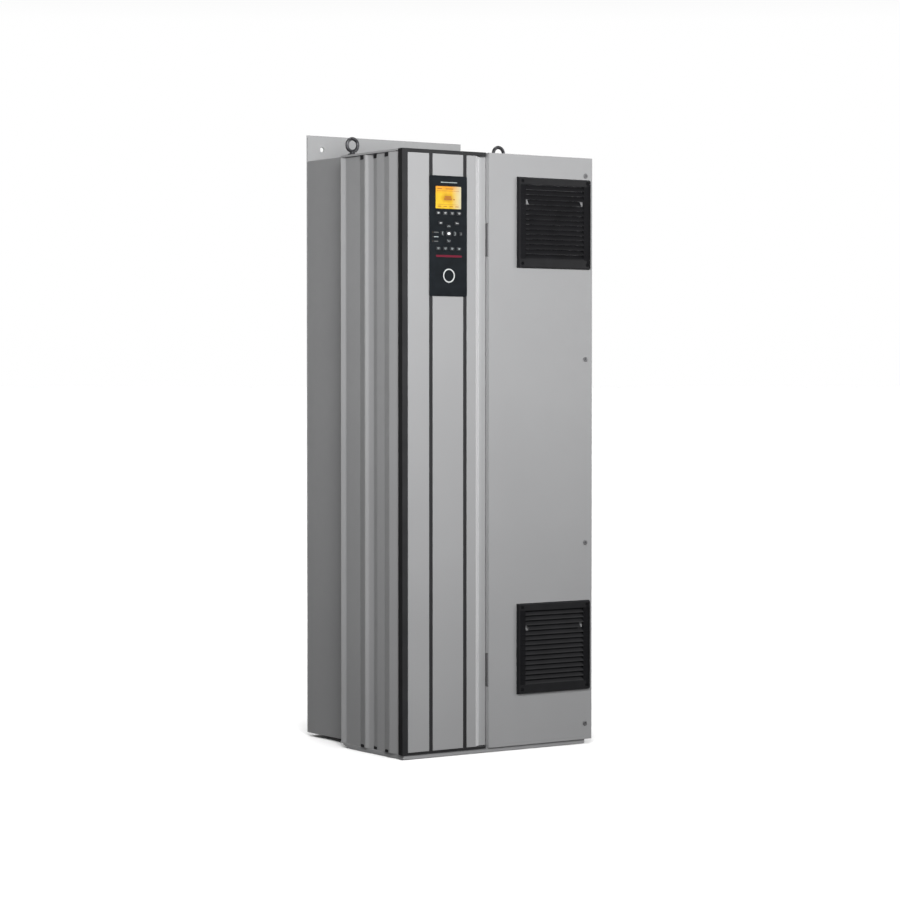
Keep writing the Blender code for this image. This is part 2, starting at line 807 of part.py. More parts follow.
def power_card():
    """The board over the power modules, on four posts."""
    board = make("power_card", circuit_board(), box((90, 330), (158, 159.8), (402, 798)))
    posts = [rod((x, 159, z), (x, WALL_FACE, z), 3, 10) for x in (98, 322) for z in (412, 788)]
    parts = [
        box((110, 170), (128, 158.5), (700, 760)),
        box((200, 300), (140, 158.5), (690, 770)),
        box((110, 310), (146, 158.5), (420, 434)),
        box((230, 300), (136, 158.5), (520, 590)),
    ]
    add(board, *posts, *parts)


def control_card():
    """The control board on a bent steel bracket behind the lower control cover."""
    board = make("control_card", circuit_board(), box((34, 156), (56, 57.8), (552, 808)))
    bracket = (545, 815)
    plate = box((14, 158), (62, 64), bracket)
    leg = box((14, 16), (FRAME_FRONT + SHEET + GAP, 64), bracket)
    posts = [rod((x, 57, z), (x, 63, z), 3, 10) for x in (42, 148) for z in (560, 800)]
    terminals = [box((44, 146), (42, 56.5), (z, z + 14)) for z in (566, 588)]
    chip = box((80, 112), (52, 56.5), (690, 722))
    plug = box((60, 130), (44, 56.5), (784, 796))
    add(board, *posts)
    add(board, plate)
    add(board, leg)
    add(board, *terminals, chip, plug)


def build():
    clear_scene()
    back_plate()
    rear_channel()
    lifting_eye("lifting_eye_left", 45)
    lifting_eye("lifting_eye_right", WIDTH - 45)
    heat_sink()
    heat_sink_fan()
    front_frame()
    back_wall()
    side_covers()
    top_cover()
    base_pan()
    door_hinges()
    control_cover()
    strips()
    keypad_cradle()
    keypad()
    door()
    power_modules()
    capacitor_bank()
    dc_choke()
    emi_filter()
    terminal_block("mains_terminals", 45)
    terminal_block("motor_terminals", 235)
    ground_bar()
    power_card()
    control_card()


build()
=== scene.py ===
"""Looks of the variable frequency drive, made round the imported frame.

Sizes here are millimetres in the frame's own axes: +Z up, the door faces -Y, and the keypad is on
the -X side. Every place comes from a CAD node's box, and meshes are scaled to metres when made.
"""

import json
import math
import random
from types import SimpleNamespace

import bmesh
import bpy
from mathutils import Matrix, Vector

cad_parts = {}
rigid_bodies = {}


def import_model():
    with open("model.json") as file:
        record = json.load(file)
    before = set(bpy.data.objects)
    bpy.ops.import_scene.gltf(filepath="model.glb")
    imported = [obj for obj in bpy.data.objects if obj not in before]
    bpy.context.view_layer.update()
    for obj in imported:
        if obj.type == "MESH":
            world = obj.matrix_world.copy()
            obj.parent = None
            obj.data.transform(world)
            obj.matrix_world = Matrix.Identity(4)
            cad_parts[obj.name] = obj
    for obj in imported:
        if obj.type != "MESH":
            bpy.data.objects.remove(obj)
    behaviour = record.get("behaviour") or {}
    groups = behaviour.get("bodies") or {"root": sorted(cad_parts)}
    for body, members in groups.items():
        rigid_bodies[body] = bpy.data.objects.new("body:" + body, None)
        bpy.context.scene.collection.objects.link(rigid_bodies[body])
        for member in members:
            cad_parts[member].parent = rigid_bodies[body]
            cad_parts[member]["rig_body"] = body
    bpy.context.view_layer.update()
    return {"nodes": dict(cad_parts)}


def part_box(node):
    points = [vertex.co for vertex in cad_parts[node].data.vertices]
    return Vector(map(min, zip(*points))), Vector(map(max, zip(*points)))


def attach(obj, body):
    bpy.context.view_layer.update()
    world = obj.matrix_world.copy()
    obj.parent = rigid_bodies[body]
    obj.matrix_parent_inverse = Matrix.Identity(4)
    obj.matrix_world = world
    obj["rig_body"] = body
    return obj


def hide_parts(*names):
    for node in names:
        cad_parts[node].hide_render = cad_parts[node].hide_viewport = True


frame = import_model()

MM = 0.001
NODES = frame["nodes"]
KEYS = [node for node in NODES if node.startswith("key_")]
CABINET, DOOR, KEYPAD = "cabinet", "door", "keypad"
SIDES = ("upper", "lower")
FORWARD, BACKWARD = (0, -1, 0), (0, 1, 0)
UP, DOWN = (0, 0, 1), (0, 0, -1)
SEED = 7
FILM_DEPTH = 0.35

# Camera and floor, in metres
CAMERA_AT = (-2.7912, -4.1634, 0.6737)
CAMERA_LOOKS = (0.5594, 0.8285, -0.0256)
LENS = 106.95
SENSOR = 36.0
VIEW_DISTANCE = 1000.0
FLOOR_RADIUS = 300.0


def span(node):
    """A CAD node's box: (low, high) along x, y and z, and its middle."""
    low, high = (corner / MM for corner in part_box(node))
    x, y, z = zip(low, high)
    return SimpleNamespace(x=x, y=y, z=z, middle=(low + high) / 2)


# Camera, light and floor


def aim(obj, direction):
    obj.rotation_mode = "QUATERNION"
    obj.rotation_quaternion = Vector(direction).to_track_quat("-Z", "Y")


def make_camera():
    data = bpy.data.cameras.new("camera")
    data.lens = LENS
    data.sensor_width = SENSOR
    data.clip_end = VIEW_DISTANCE
    camera = bpy.data.objects.new("camera", data)
    camera.location = CAMERA_AT
    aim(camera, CAMERA_LOOKS)
    bpy.context.scene.collection.objects.link(camera)
    bpy.context.scene.camera = camera


def softbox(name, azimuth, distance, height, size, power, target_height):
    """An area light at an angle round the object: 0 is straight in front, 90 is its right side."""
    data = bpy.data.lights.new(name, "AREA")
    data.shape = "RECTANGLE"
    data.size, data.size_y = size
    data.energy = power
    lamp = bpy.data.objects.new(name, data)
    lamp.visible_camera = False
    turn = math.radians(azimuth)
    lamp.location = (math.sin(turn) * distance, -math.cos(turn) * distance, height)
    aim(lamp, Vector((0, 0, target_height)) - lamp.location)
    bpy.context.scene.collection.objects.link(lamp)


def make_lights():
    softbox("front_light", -33, 1.7, 1.2, (0.7, 0.7), 40, 1.0)
    softbox("right_strip", 50, 2.8, 1.3, (0.9, 1.6), 34, 0.8)
    softbox("back_light", 170, 3.2, 1.6, (1.2, 1.6), 26, 0.6)
    ceiling = bpy.data.lights.new("ceiling_light", "SUN")
    ceiling.angle = math.radians(20)
    ceiling.energy = 2.3
    lamp = bpy.data.objects.new("ceiling_light", ceiling)
    lamp.location = (0, 0, 4)
    bpy.context.scene.collection.objects.link(lamp)


def make_world():
    """Dim surroundings with a bright band along the horizon."""
    world = bpy.data.worlds.new("studio")
    bpy.context.scene.world = world
    world.use_nodes = True
    tree = world.node_tree
    direction = tree.nodes.new("ShaderNodeTexCoord")
    split = tree.nodes.new("ShaderNodeSeparateXYZ")
    tree.links.new(direction.outputs["Generated"], split.inputs[0])
    rise = tree.nodes.new("ShaderNodeMapRange")
    rise.inputs["From Min"].default_value = -1.0
    tree.links.new(split.outputs["Z"], rise.inputs["Value"])
    ramp = tree.nodes.new("ShaderNodeValToRGB")
    ramp.color_ramp.interpolation = "EASE"
    below, bright, above = 0.05, 1.0, 0.06
    bands = ((-0.07, below), (-0.035, bright), (0.13, bright), (0.225, above))
    stops = ramp.color_ramp.elements
    while len(stops) < len(bands):
        stops.new(0.5)
    for index, (height, level) in enumerate(bands):
        stops[index].position = (height + 1) / 2
        stops[index].color = (level, level, level, 1)
    tree.links.new(rise.outputs["Result"], ramp.inputs[0])
    tree.links.new(ramp.outputs[0], tree.nodes["Background"].inputs["Color"])


def make_floor():
    """A white floor that brightens with distance and throws no light back on the object."""
    bpy.ops.mesh.primitive_circle_add(
        vertices=128, radius=FLOOR_RADIUS, fill_type="NGON", location=(0, 0, -0.0005)
    )
    floor = bpy.context.object
    floor.name = "floor"
    white = Graph("floor_white", (0.92, 0.92, 0.92), 0.9)
    white.tint(white.noise(2.0), 0.01)
    away = white.node("ShaderNodeVectorMath", operation="LENGTH")
    white.link(white.coords(), away.inputs[0])
    glow = white.spread(away.outputs["Value"], 0, 0.34, 0.3, 3.4)
    white.link(glow, white.shader.inputs["Emission Color"])
    white.shader.inputs["Emission Strength"].default_value = 1.0
    floor.data.materials.append(white.material)
    floor.visible_diffuse = False
    floor.visible_glossy = False


# Materials


class Graph:
    """One procedural material and the few kinds of node that it is built from."""

    def __init__(self, name, colour, roughness, metallic=0.0, specular=0.5):
        self.material = bpy.data.materials.new(name)
        self.material.use_nodes = True
        self.tree = self.material.node_tree
        self.shader = self.tree.nodes["Principled BSDF"]
        self.colour = colour
        self.roughness = roughness
        self.shader.inputs["Base Color"].default_value = (*colour, 1.0)
        self.shader.inputs["Roughness"].default_value = roughness
        self.shader.inputs["Metallic"].default_value = metallic
        self.shader.inputs["Specular IOR Level"].default_value = specular

    def node(self, kind, **settings):
        made = self.tree.nodes.new(kind)
        for key, value in settings.items():
            if key in made.inputs:
                made.inputs[key].default_value = value
            else:
                setattr(made, key, value)
        return made

    def link(self, source, target):
        self.tree.links.new(source, target)

    def coords(self, stretch=(1, 1, 1), kind="Object", shift=(0, 0, 0)):
        place = self.node("ShaderNodeTexCoord")
        mapping = self.node("ShaderNodeMapping", Scale=stretch, Location=shift)
        self.link(place.outputs[kind], mapping.inputs["Vector"])
        return mapping.outputs["Vector"]

    def noise(self, scale, detail=3.0, stretch=(1, 1, 1)):
        made = self.node("ShaderNodeTexNoise", Scale=scale, Detail=detail)
        self.link(self.coords(stretch), made.inputs["Vector"])
        return made.outputs["Fac"]

    def cells(self, scale, feature="F1", output="Distance"):
        made = self.node("ShaderNodeTexVoronoi", Scale=scale, feature=feature)
        self.link(self.coords(), made.inputs["Vector"])
        return made.outputs[output]

    def waves(self, scale, direction):
        made = self.node("ShaderNodeTexWave", Scale=scale, Distortion=0.0, bands_direction=direction)
        self.link(self.coords(), made.inputs["Vector"])
        return made.outputs["Fac"]

    def spread(self, value, low, high, start=0.0, end=1.0):
        made = self.node("ShaderNodeMapRange")
        made.inputs["From Min"].default_value = start
        made.inputs["From Max"].default_value = end
        made.inputs["To Min"].default_value = low
        made.inputs["To Max"].default_value = high
        self.link(value, made.inputs["Value"])
        return made.outputs["Result"]

    def total(self, first, second):
        made = self.node("ShaderNodeMath", operation="ADD")
        self.link(first, made.inputs[0])
        self.link(second, made.inputs[1])
        return made.outputs[0]

    def scaled(self, colour, factor):
        made = self.node("ShaderNodeVectorMath", operation="SCALE")
        self.link(colour, made.inputs[0])
        self.link(factor, made.inputs["Scale"])
        return made.outputs[0]

    def blend(self, factor, first, second):
        """A colour between two, each a tuple or a socket."""
        made = self.node("ShaderNodeMix", data_type="RGBA")
        self.link(factor, made.inputs["Factor"])
        for colour, socket in ((first, made.inputs[6]), (second, made.inputs[7])):
            if isinstance(colour, tuple):
                socket.default_value = (*colour, 1.0)
            else:
                self.link(colour, socket)
        return made.outputs[2]

    def tint(self, value, amount):
        """Lets the base colour vary by a share of itself."""
        low = tuple(max(c * (1 - amount), 0) for c in self.colour)
        high = tuple(c * (1 + amount) for c in self.colour)
        self.paint(self.blend(self.spread(value, 0, 1, 0.3, 0.7), low, high))

    def paint(self, colour):
        self.link(colour, self.shader.inputs["Base Color"])

    def polish(self, value, amount):
        """Lets the roughness vary by an amount either way."""
        low, high = self.roughness - amount, self.roughness + amount
        self.link(self.spread(value, low, high, 0.25, 0.75), self.shader.inputs["Roughness"])

    def bump(self, height, depth):
        """Raises the surface by a depth in millimetres."""
        made = self.node("ShaderNodeBump", Strength=1.0, Distance=depth * MM)
        self.link(height, made.inputs["Height"])
        self.link(made.outputs["Normal"], self.shader.inputs["Normal"])

    def vary(self, tint=None, polish=None, bump=None):
        """Varies colour, roughness and height by noise, each given as (scale, detail, amount)."""
        for change, noise in ((self.tint, tint), (self.polish, polish), (self.bump, bump)):
            if noise:
                scale, detail, amount = noise
                change(self.noise(scale, detail), amount)
        return self.material


FINISHES = {}


def finish(make):
    """Makes a material once and keeps it for every piece that uses it."""

    def once():
        if make.__name__ not in FINISHES:
            FINISHES[make.__name__] = make()
        return FINISHES[make.__name__]

    return once


@finish
def grey_paint():
    """Powder coat: a fine orange peel, with a faint cloudiness."""
    coat = Graph("grey_paint", (0.258, 0.259, 0.263), 0.46, specular=0.45)
    speckle = coat.spread(coat.noise(2600, 2), 0.97, 1.03, 0.3, 0.7)
    cloud = coat.spread(coat.noise(5, 3), 0, 1, 0.3, 0.7)
    base = coat.blend(cloud, (0.251, 0.252, 0.256), (0.265, 0.266, 0.270))
    coat.paint(coat.scaled(base, speckle))
    return coat.vary(polish=(60, 3, 0.05), bump=(650, 2, 0.035))


@finish
def groove_painted_light():
    """A lighter, glossier copy of the grey coat for the groove beside the door: painted light where the
    groove lies in shade.
    """
    coat = Graph("groove_painted_light", (0.325, 0.327, 0.332), 0.38, specular=0.5)
    return coat.vary((2600, 2, 0.03), (60, 3, 0.05), (650, 2, 0.02))


@finish
def bevel_painted_highlight():
    """The bright satin bevel that leads down into that groove: a paler, glossier copy of the grey coat, a
    painted highlight along the bevel.
    """
    coat = Graph("bevel_painted_highlight", (0.62, 0.622, 0.63), 0.3, specular=0.5)
    coat.polish(coat.noise(90, 3, (1, 1, 0.05)), 0.06)
    return coat.vary((2200, 2, 0.03), bump=(700, 2, 0.012))


@finish
def plate_paint():
    """The back plate's coat, a shade lighter than the cabinet's."""
    coat = Graph("plate_paint", (0.30, 0.302, 0.306), 0.46, specular=0.45)
    return coat.vary((2600, 2, 0.03), (60, 3, 0.05), (650, 2, 0.03))


@finish
def lock_steel():
    """The locks' heads, a satin grey a little darker than the door."""
    steel = Graph("lock_steel", (0.15, 0.15, 0.155), 0.42, 0.3, 0.4)
    return steel.vary((120, 3, 0.12), (400, 3, 0.06), (900, 2, 0.02))


@finish
def hinge_steel():
    """Grey-coated steel with a satin sheen."""
    steel = Graph("hinge_steel", (0.115, 0.115, 0.118), 0.5, 0.2, 0.3)
    return steel.vary((300, 3, 0.12), (200, 3, 0.08), (600, 3, 0.02))


@finish
def dark_steel():
    """Blackened forged steel, rubbed a little brighter in places."""
    steel = Graph("dark_steel", (0.060, 0.060, 0.065), 0.42, 0.75)
    rub = steel.spread(steel.noise(120, 6), 0, 1, 0.52, 0.75)
    steel.paint(steel.blend(rub, (0.050, 0.050, 0.054), (0.16, 0.16, 0.165)))
    return steel.vary(polish=(300, 4, 0.1), bump=(500, 4, 0.06))


@finish
def bright_steel():
    steel = Graph("bright_steel", (0.62, 0.62, 0.63), 0.28, 1.0)
    return steel.vary((500, 3, 0.12), (200, 3, 0.08), (1500, 2, 0.01))


@finish
def plated_steel():
    """Zinc-plated sheet with soft spangle."""
    zinc = Graph("plated_steel", (0.55, 0.56, 0.57), 0.36, 0.95)
    shade = zinc.node("ShaderNodeSeparateColor")
    zinc.link(zinc.cells(210, output="Color"), shade.inputs[0])
    zinc.paint(zinc.blend(shade.outputs[0], (0.52, 0.53, 0.54), (0.59, 0.60, 0.61)))
    return zinc.vary(polish=(140, 4, 0.08), bump=(900, 2, 0.012))


@finish
def aluminium():
    """Extruded aluminium with die lines that run up the fins."""
    metal = Graph("aluminium", (0.66, 0.67, 0.69), 0.34, 1.0)
    lines = metal.noise(700, 3, (1, 1, 0.01))
    metal.tint(lines, 0.12)
    metal.polish(lines, 0.1)
    metal.bump(lines, 0.02)
    return metal.material


@finish
def can_aluminium():
    """A capacitor's bare top."""
    metal = Graph("can_aluminium", (0.74, 0.75, 0.77), 0.30, 1.0)
    return metal.vary((400, 3, 0.1), (150, 3, 0.08))


@finish
def laminated_steel():
    """A stack of varnished core sheets seen edge on."""
    core = Graph("laminated_steel", (0.09, 0.09, 0.095), 0.42, 0.7)
    sheets = core.waves(330, "Y")
    core.paint(core.blend(sheets, (0.045, 0.045, 0.05), (0.15, 0.145, 0.14)))
    core.bump(sheets, 0.15)
    return core.vary(polish=(150, 4, 0.1))


@finish
def copper():
    """Rolled bar, slightly tarnished."""
    metal = Graph("copper", (0.70, 0.34, 0.18), 0.32, 1.0)
    tarnish = metal.spread(metal.noise(45, 5), 0, 1, 0.35, 0.75)
    metal.paint(metal.blend(tarnish, (0.74, 0.37, 0.20), (0.46, 0.20, 0.11)))
    metal.polish(metal.noise(300, 3, (1, 1, 0.05)), 0.1)
    metal.bump(metal.noise(900, 2, (1, 1, 0.03)), 0.012)
    return metal.material


@finish
def winding_copper():
    """Enamelled wire laid turn on turn up the coil."""
    coil = Graph("winding_copper", (0.42, 0.15, 0.06), 0.30, 0.6)
    turns = coil.waves(95, "Z")
    coil.paint(coil.blend(turns, (0.16, 0.05, 0.02), (0.58, 0.24, 0.10)))
    coil.bump(turns, 0.9)
    return coil.vary(polish=(200, 2, 0.06))


def moulded(name, colour, roughness, specular, tint, polish, grain):
    """Moulded plastic with a spark-eroded grain; the last three are each (scale, amount)."""
    plastic = Graph(name, colour, roughness, specular=specular)
    plastic.tint(plastic.noise(tint[0], 4), tint[1])
    plastic.polish(plastic.noise(polish[0], 3), polish[1])
    plastic.bump(plastic.cells(grain[0], "SMOOTH_F1"), grain[1])
    return plastic.material


@finish
def black_plastic():
    """The grilles, the cradle and other black mouldings."""
    colour = (0.008, 0.008, 0.009)
    return moulded("black_plastic", colour, 0.50, 0.14, (35, 0.18), (400, 0.06), (1500, 0.03))


@finish
def cover_plastic():
    """The tray behind the strips: a little lighter and smoother than the grilles."""
    colour = (0.021, 0.021, 0.022)
    return moulded("cover_plastic", colour, 0.46, 0.12, (20, 0.15), (300, 0.05), (1100, 0.02))


@finish
def cover_painted_shade():
    """A darker, duller copy of the tray's plastic for its left side: painted shade on the side that the
    light reaches less.
    """
    colour = (0.0125, 0.0125, 0.013)
    return moulded("cover_painted_shade", colour, 0.6, 0.07, (35, 0.15), (400, 0.06), (1300, 0.03))


@finish
def matt_black_and_painted_shade():
    """Screws and recessed bands in the black mouldings, with a coarser, duller grain; on the bands it is
    painted shade, darker than the moulding round them.
    """
    colour = (0.007, 0.007, 0.008)
    return moulded("matt_black_and_painted_shade", colour, 0.62, 0.05, (35, 0.15), (400, 0.06), (1300, 0.03))


@finish
def component_plastic():
    colour = (0.055, 0.058, 0.066)
    return moulded("component_plastic", colour, 0.48, 0.5, (80, 0.2), (500, 0.07), (1300, 0.02))


@finish
def connector_plastic():
    plastic = Graph("connector_plastic", (0.03, 0.16, 0.09), 0.42)
    return plastic.vary((90, 4, 0.15), (500, 3, 0.07))


@finish
def pale_plastic():
    plastic = Graph("pale_plastic", (0.52, 0.51, 0.46), 0.45)
    return plastic.vary((90, 4, 0.08), (500, 3, 0.06))


@finish
def fascia_plastic():
    """The keypad's film front, smooth and near-black."""
    film = Graph("fascia_plastic", (0.007, 0.009, 0.011), 0.45, specular=0.06)
    return film.vary((60, 3, 0.2), (500, 3, 0.06), (1800, 2, 0.008))


@finish
def key_rubber():
    """Silicone keys: soft sheen over a fine grain."""
    rubber = Graph("key_rubber", (0.020, 0.021, 0.024), 0.58, specular=0.2)
    rubber.shader.inputs["Sheen Weight"].default_value = 0.05
    return rubber.vary((300, 3, 0.15), (600, 2, 0.05), (2600, 2, 0.012))


@finish
def capacitor_sleeve():
    """Shrunk plastic sleeve, glossy with faint ripples."""
    sleeve = Graph("capacitor_sleeve", (0.018, 0.026, 0.055), 0.28)
    sleeve.bump(sleeve.noise(90, 3, (1, 0.2, 1)), 0.12)
    return sleeve.vary((30, 4, 0.25), (120, 3, 0.06))


@finish
def circuit_board():
    """Green solder mask over tracks and pads."""
    board = Graph("circuit_board", (0.012, 0.11, 0.045), 0.35, specular=0.5)
    lines = board.spread(board.cells(160, "DISTANCE_TO_EDGE"), 1, 0, 0.02, 0.06)
    base = board.blend(lines, (0.010, 0.085, 0.035), (0.020, 0.17, 0.065))
    pads = board.spread(board.cells(420), 1, 0, 0.10, 0.14)
    board.paint(board.blend(pads, base, (0.45, 0.42, 0.33)))
    board.bump(lines, 0.05)
    return board.vary(polish=(200, 2, 0.06))


@finish
def foam():
    sponge = Graph("foam", (0.035, 0.035, 0.037), 0.92, specular=0.2)
    pores = sponge.cells(900)
    sponge.tint(pores, 0.35)
    sponge.bump(pores, 0.25)
    return sponge.material


@finish
def filter_felt():
    """Dark non-woven mat: crossed fibres with a deep, fuzzy surface."""
    felt = Graph("filter_felt", (0.10, 0.10, 0.10), 0.95, specular=0.1)
    felt.shader.inputs["Sheen Weight"].default_value = 0.5
    fibres = felt.total(felt.noise(260, 6, (1, 1, 6)), felt.noise(240, 6, (6, 1, 1)))
    depth = felt.spread(fibres, 0, 1, 0.8, 1.2)
    felt.paint(felt.blend(depth, (0.045, 0.045, 0.047), (0.17, 0.17, 0.17)))
    felt.bump(fibres, 0.5)
    return felt.material


def ink(name, colour):
    """Printed marks, very slightly uneven."""
    return Graph(name, colour, 0.5, specular=0.15).vary((1500, 3, 0.08), (800, 2, 0.06))


@finish
def white_ink():
    return ink("white_ink", (0.80, 0.80, 0.82))


@finish
def pale_ink():
    return ink("pale_ink", (0.48, 0.50, 0.50))


@finish
def grey_ink():
    return ink("grey_ink", (0.30, 0.34, 0.34))


@finish
def faint_ink():
    return ink("faint_ink", (0.11, 0.115, 0.115))


@finish
def red_ink():
    return ink("red_ink", (0.11, 0.005, 0.018))


@finish
def amber_screen():
    """A lit display: yellow, orange towards its top, paler at its right edge and browner in the middle."""
    glass = Graph("amber_screen", (0.47, 0.30, 0.03), 0.2, specular=0.15)
    split = glass.node("ShaderNodeSeparateXYZ")
    glass.link(glass.coords(kind="Generated"), split.inputs[0])
    across = glass.spread(split.outputs["X"], 0, 1, 0.62, 1.0)
    upward = glass.spread(split.outputs["Z"], 0, 1, 0.62, 1.0)
    body = glass.blend(upward, (0.47, 0.30, 0.02), (0.46, 0.19, 0.02))
    colour = glass.blend(across, body, (0.38, 0.355, 0.24))
    smudge = glass.node("ShaderNodeTexGradient", gradient_type="SPHERICAL")
    glass.link(glass.coords((2.9, 0, 3.6), "Generated", (-1.36, 0, -1.7)), smudge.inputs["Vector"])
    centre = glass.spread(smudge.outputs["Fac"], 0, 0.85, 0.1, 0.9)
    colour = glass.blend(centre, colour, (0.26, 0.09, 0.005))
    flicker = glass.spread(glass.noise(90, 4), 0.92, 1.08, 0.3, 0.7)
    lit = glass.scaled(colour, flicker)
    glass.paint(lit)
    glass.link(lit, glass.shader.inputs["Emission Color"])
    glass.shader.inputs["Emission Strength"].default_value = 0.30
    return glass.material


@finish
def screen_mark():
    colour = (0.24, 0.085, 0.008)
    mark = Graph("screen_mark", colour, 0.3, specular=0.3)
    mark.shader.inputs["Emission Color"].default_value = (*colour, 1)
    mark.shader.inputs["Emission Strength"].default_value = 0.3
    return mark.vary((700, 2, 0.1))


@finish
def lamp_lens():
    lens = Graph("lamp_lens", (0.045, 0.032, 0.018), 0.2)
    lens.shader.inputs["Coat Weight"].default_value = 0.6
    return lens.vary((900, 2, 0.1))


# Outlines and shapes, in millimetres


def widened(pair, gap):
    """A (low, high) pair with a gap added at both ends."""
    return pair[0] - gap, pair[1] + gap


def evenly(low, high, count):
    """Evenly spaced numbers from low to high."""
    return [low + (high - low) * step / (count - 1) for step in range(count)]


def around(point, half):
    """A block's (low, high) pairs from its middle and half sizes."""
    return [(p - h, p + h) for p, h in zip(point, half)]


def facing(direction):
    return Vector((0, 0, 1)).rotation_difference(Vector(direction)).to_matrix().to_4x4()


def block(x, y, z):
    shape = bmesh.new()
    bmesh.ops.create_cube(shape, size=1.0)
    size = (x[1] - x[0], y[1] - y[0], z[1] - z[0])
    middle = Vector((sum(x), sum(y), sum(z))) / 2
    shape.transform(Matrix.Translation(middle) @ Matrix.Diagonal((*size, 1.0)))
    return shape


def cleaned(shape):
    """A shape with doubled corners joined and its faces turned outward."""
    bmesh.ops.remove_doubles(shape, verts=shape.verts, dist=0.0001)
    bmesh.ops.recalc_face_normals(shape, faces=shape.faces)
    return shape


def spun(shape, geometry, steps, at, direction):
    """Spins geometry once round Z, then stands the shape at a point, facing a direction."""
    bmesh.ops.spin(
        shape, geom=geometry, cent=(0, 0, 0), axis=UP, angle=math.tau, steps=steps, use_merge=True
    )
    cleaned(shape)
    shape.transform(Matrix.Translation(at) @ facing(direction))
    return shape


def turned(profile, at, direction, steps=32):
    """A solid of revolution from (radius, height) points, first and last on the axis."""
    shape = bmesh.new()
    points = [shape.verts.new((radius, 0, height)) for radius, height in profile]
    edges = [shape.edges.new(pair) for pair in zip(points, points[1:])]
    return spun(shape, points + edges, steps, at, direction)


def rod(start, end, radius, sides=24):
    reach = Vector(end) - Vector(start)
    profile = [(0, 0), (radius, 0), (radius, reach.length), (0, reach.length)]
    return turned(profile, start, reach, sides)


def torus(middle, axis, major, minor, steps=64, sides=20):
    shape = bmesh.new()
    ring = bmesh.ops.create_circle(shape, segments=sides, radius=minor)
    shape.transform(Matrix.Translation((major, 0, 0)) @ Matrix.Rotation(math.pi / 2, 4, "X"))
    return spun(shape, ring["verts"] + list(shape.edges), steps, middle, axis)


def extruded(outline, axis, low, high):
    """A flat outline pushed along an axis; its points are the other two coordinates in order."""
    place = {
        "X": lambda a, b: (low, a, b),
        "Y": lambda a, b: (a, low, b),
        "Z": lambda a, b: (a, b, low),
    }[axis]
    push = {"X": (high - low, 0, 0), "Y": (0, high - low, 0), "Z": (0, 0, high - low)}[axis]
    shape = bmesh.new()
    face = shape.faces.new([shape.verts.new(place(a, b)) for a, b in outline])
    result = bmesh.ops.extrude_face_region(shape, geom=[face])
    moved = [v for v in result["geom"] if isinstance(v, bmesh.types.BMVert)]
    bmesh.ops.translate(shape, verts=moved, vec=push)
    bmesh.ops.recalc_face_normals(shape, faces=shape.faces)
    return shape


def circle(x, z, radius, steps=48):
    """An outline of points round a circle."""
    turns = [math.tau * step / steps for step in range(steps)]
    return [(x + radius * math.cos(turn), z + radius * math.sin(turn)) for turn in turns]


def rounded_rectangle(x, z, radius, steps=6):
    """An outline with rounded corners."""
    corners = (
        (x[1] - radius, z[1] - radius, 0),
        (x[0] + radius, z[1] - radius, 90),
        (x[0] + radius, z[0] + radius, 180),
        (x[1] - radius, z[0] + radius, 270),
    )
    points = []
    for cx, cz, start in corners:
        for step in range(steps + 1):
            angle = math.radians(start + 90 * step / steps)
            points.append((cx + radius * math.cos(angle), cz + radius * math.sin(angle)))
    return points


def filleted(points, radius, steps=4):
    """A path with each inner corner swapped for a small curve."""
    path = [Vector(points[0])]
    for before, corner, after in zip(points, points[1:], points[2:]):
        corner = Vector(corner)
        to_before, to_after = Vector(before) - corner, Vector(after) - corner
        reach = min(radius, to_before.length * 0.45, to_after.length * 0.45)
        start = corner + to_before.normalized() * reach
        end = corner + to_after.normalized() * reach
        for step in range(steps + 1):
            t = step / steps
            path.append(start * (1 - t) ** 2 + corner * 2 * t * (1 - t) + end * t**2)
    path.append(Vector(points[-1]))
    return path


def thickened(path, thickness):
    """A closed outline round a path and its offset to the right of the path's direction."""
    offset = []
    for index, point in enumerate(path):
        before = path[max(index - 1, 0)]
        after = path[min(index + 1, len(path) - 1)]
        along = (after - before).normalized()
        offset.append(point + Vector((along.y, -along.x)) * thickness)
    return [*path, *reversed(offset)]


def taken(mesh):
    """A shape made from a mesh, which is used up."""
    shape = bmesh.new()
    shape.from_mesh(mesh)
    bpy.data.meshes.remove(mesh)
    return shape


def evaluated(holder):
    """A new mesh from an object with its modifiers or curve settings worked out."""
    depsgraph = bpy.context.evaluated_depsgraph_get()
    return bpy.data.meshes.new_from_object(holder.evaluated_get(depsgraph))


def wire(points, radius):
    """A closed-ended tube through points."""
    curve = bpy.data.curves.new("wire", "CURVE")
    curve.dimensions = "3D"
    curve.bevel_depth = radius
    curve.bevel_resolution = 2
    curve.use_fill_caps = True
    spline = curve.splines.new("POLY")
    spline.points.add(len(points) - 1)
    for knot, point in zip(spline.points, points):
        knot.co = (*point, 1.0)
    holder = bpy.data.objects.new("wire", curve)
    bpy.context.scene.collection.objects.link(holder)
    mesh = evaluated(holder)
    bpy.data.objects.remove(holder)
    bpy.data.curves.remove(curve)
    return cleaned(taken(mesh))


def absorb(whole, shape):
    """Adds a shape to a whole; the shape is used up."""
    part = bpy.data.meshes.new("part")
    shape.to_mesh(part)
    shape.free()
    whole.from_mesh(part)
    bpy.data.meshes.remove(part)


def merged(shapes):
    """One shape from several, which are used up."""
    whole = bmesh.new()
    for shape in shapes:
        absorb(whole, shape)
    return whole


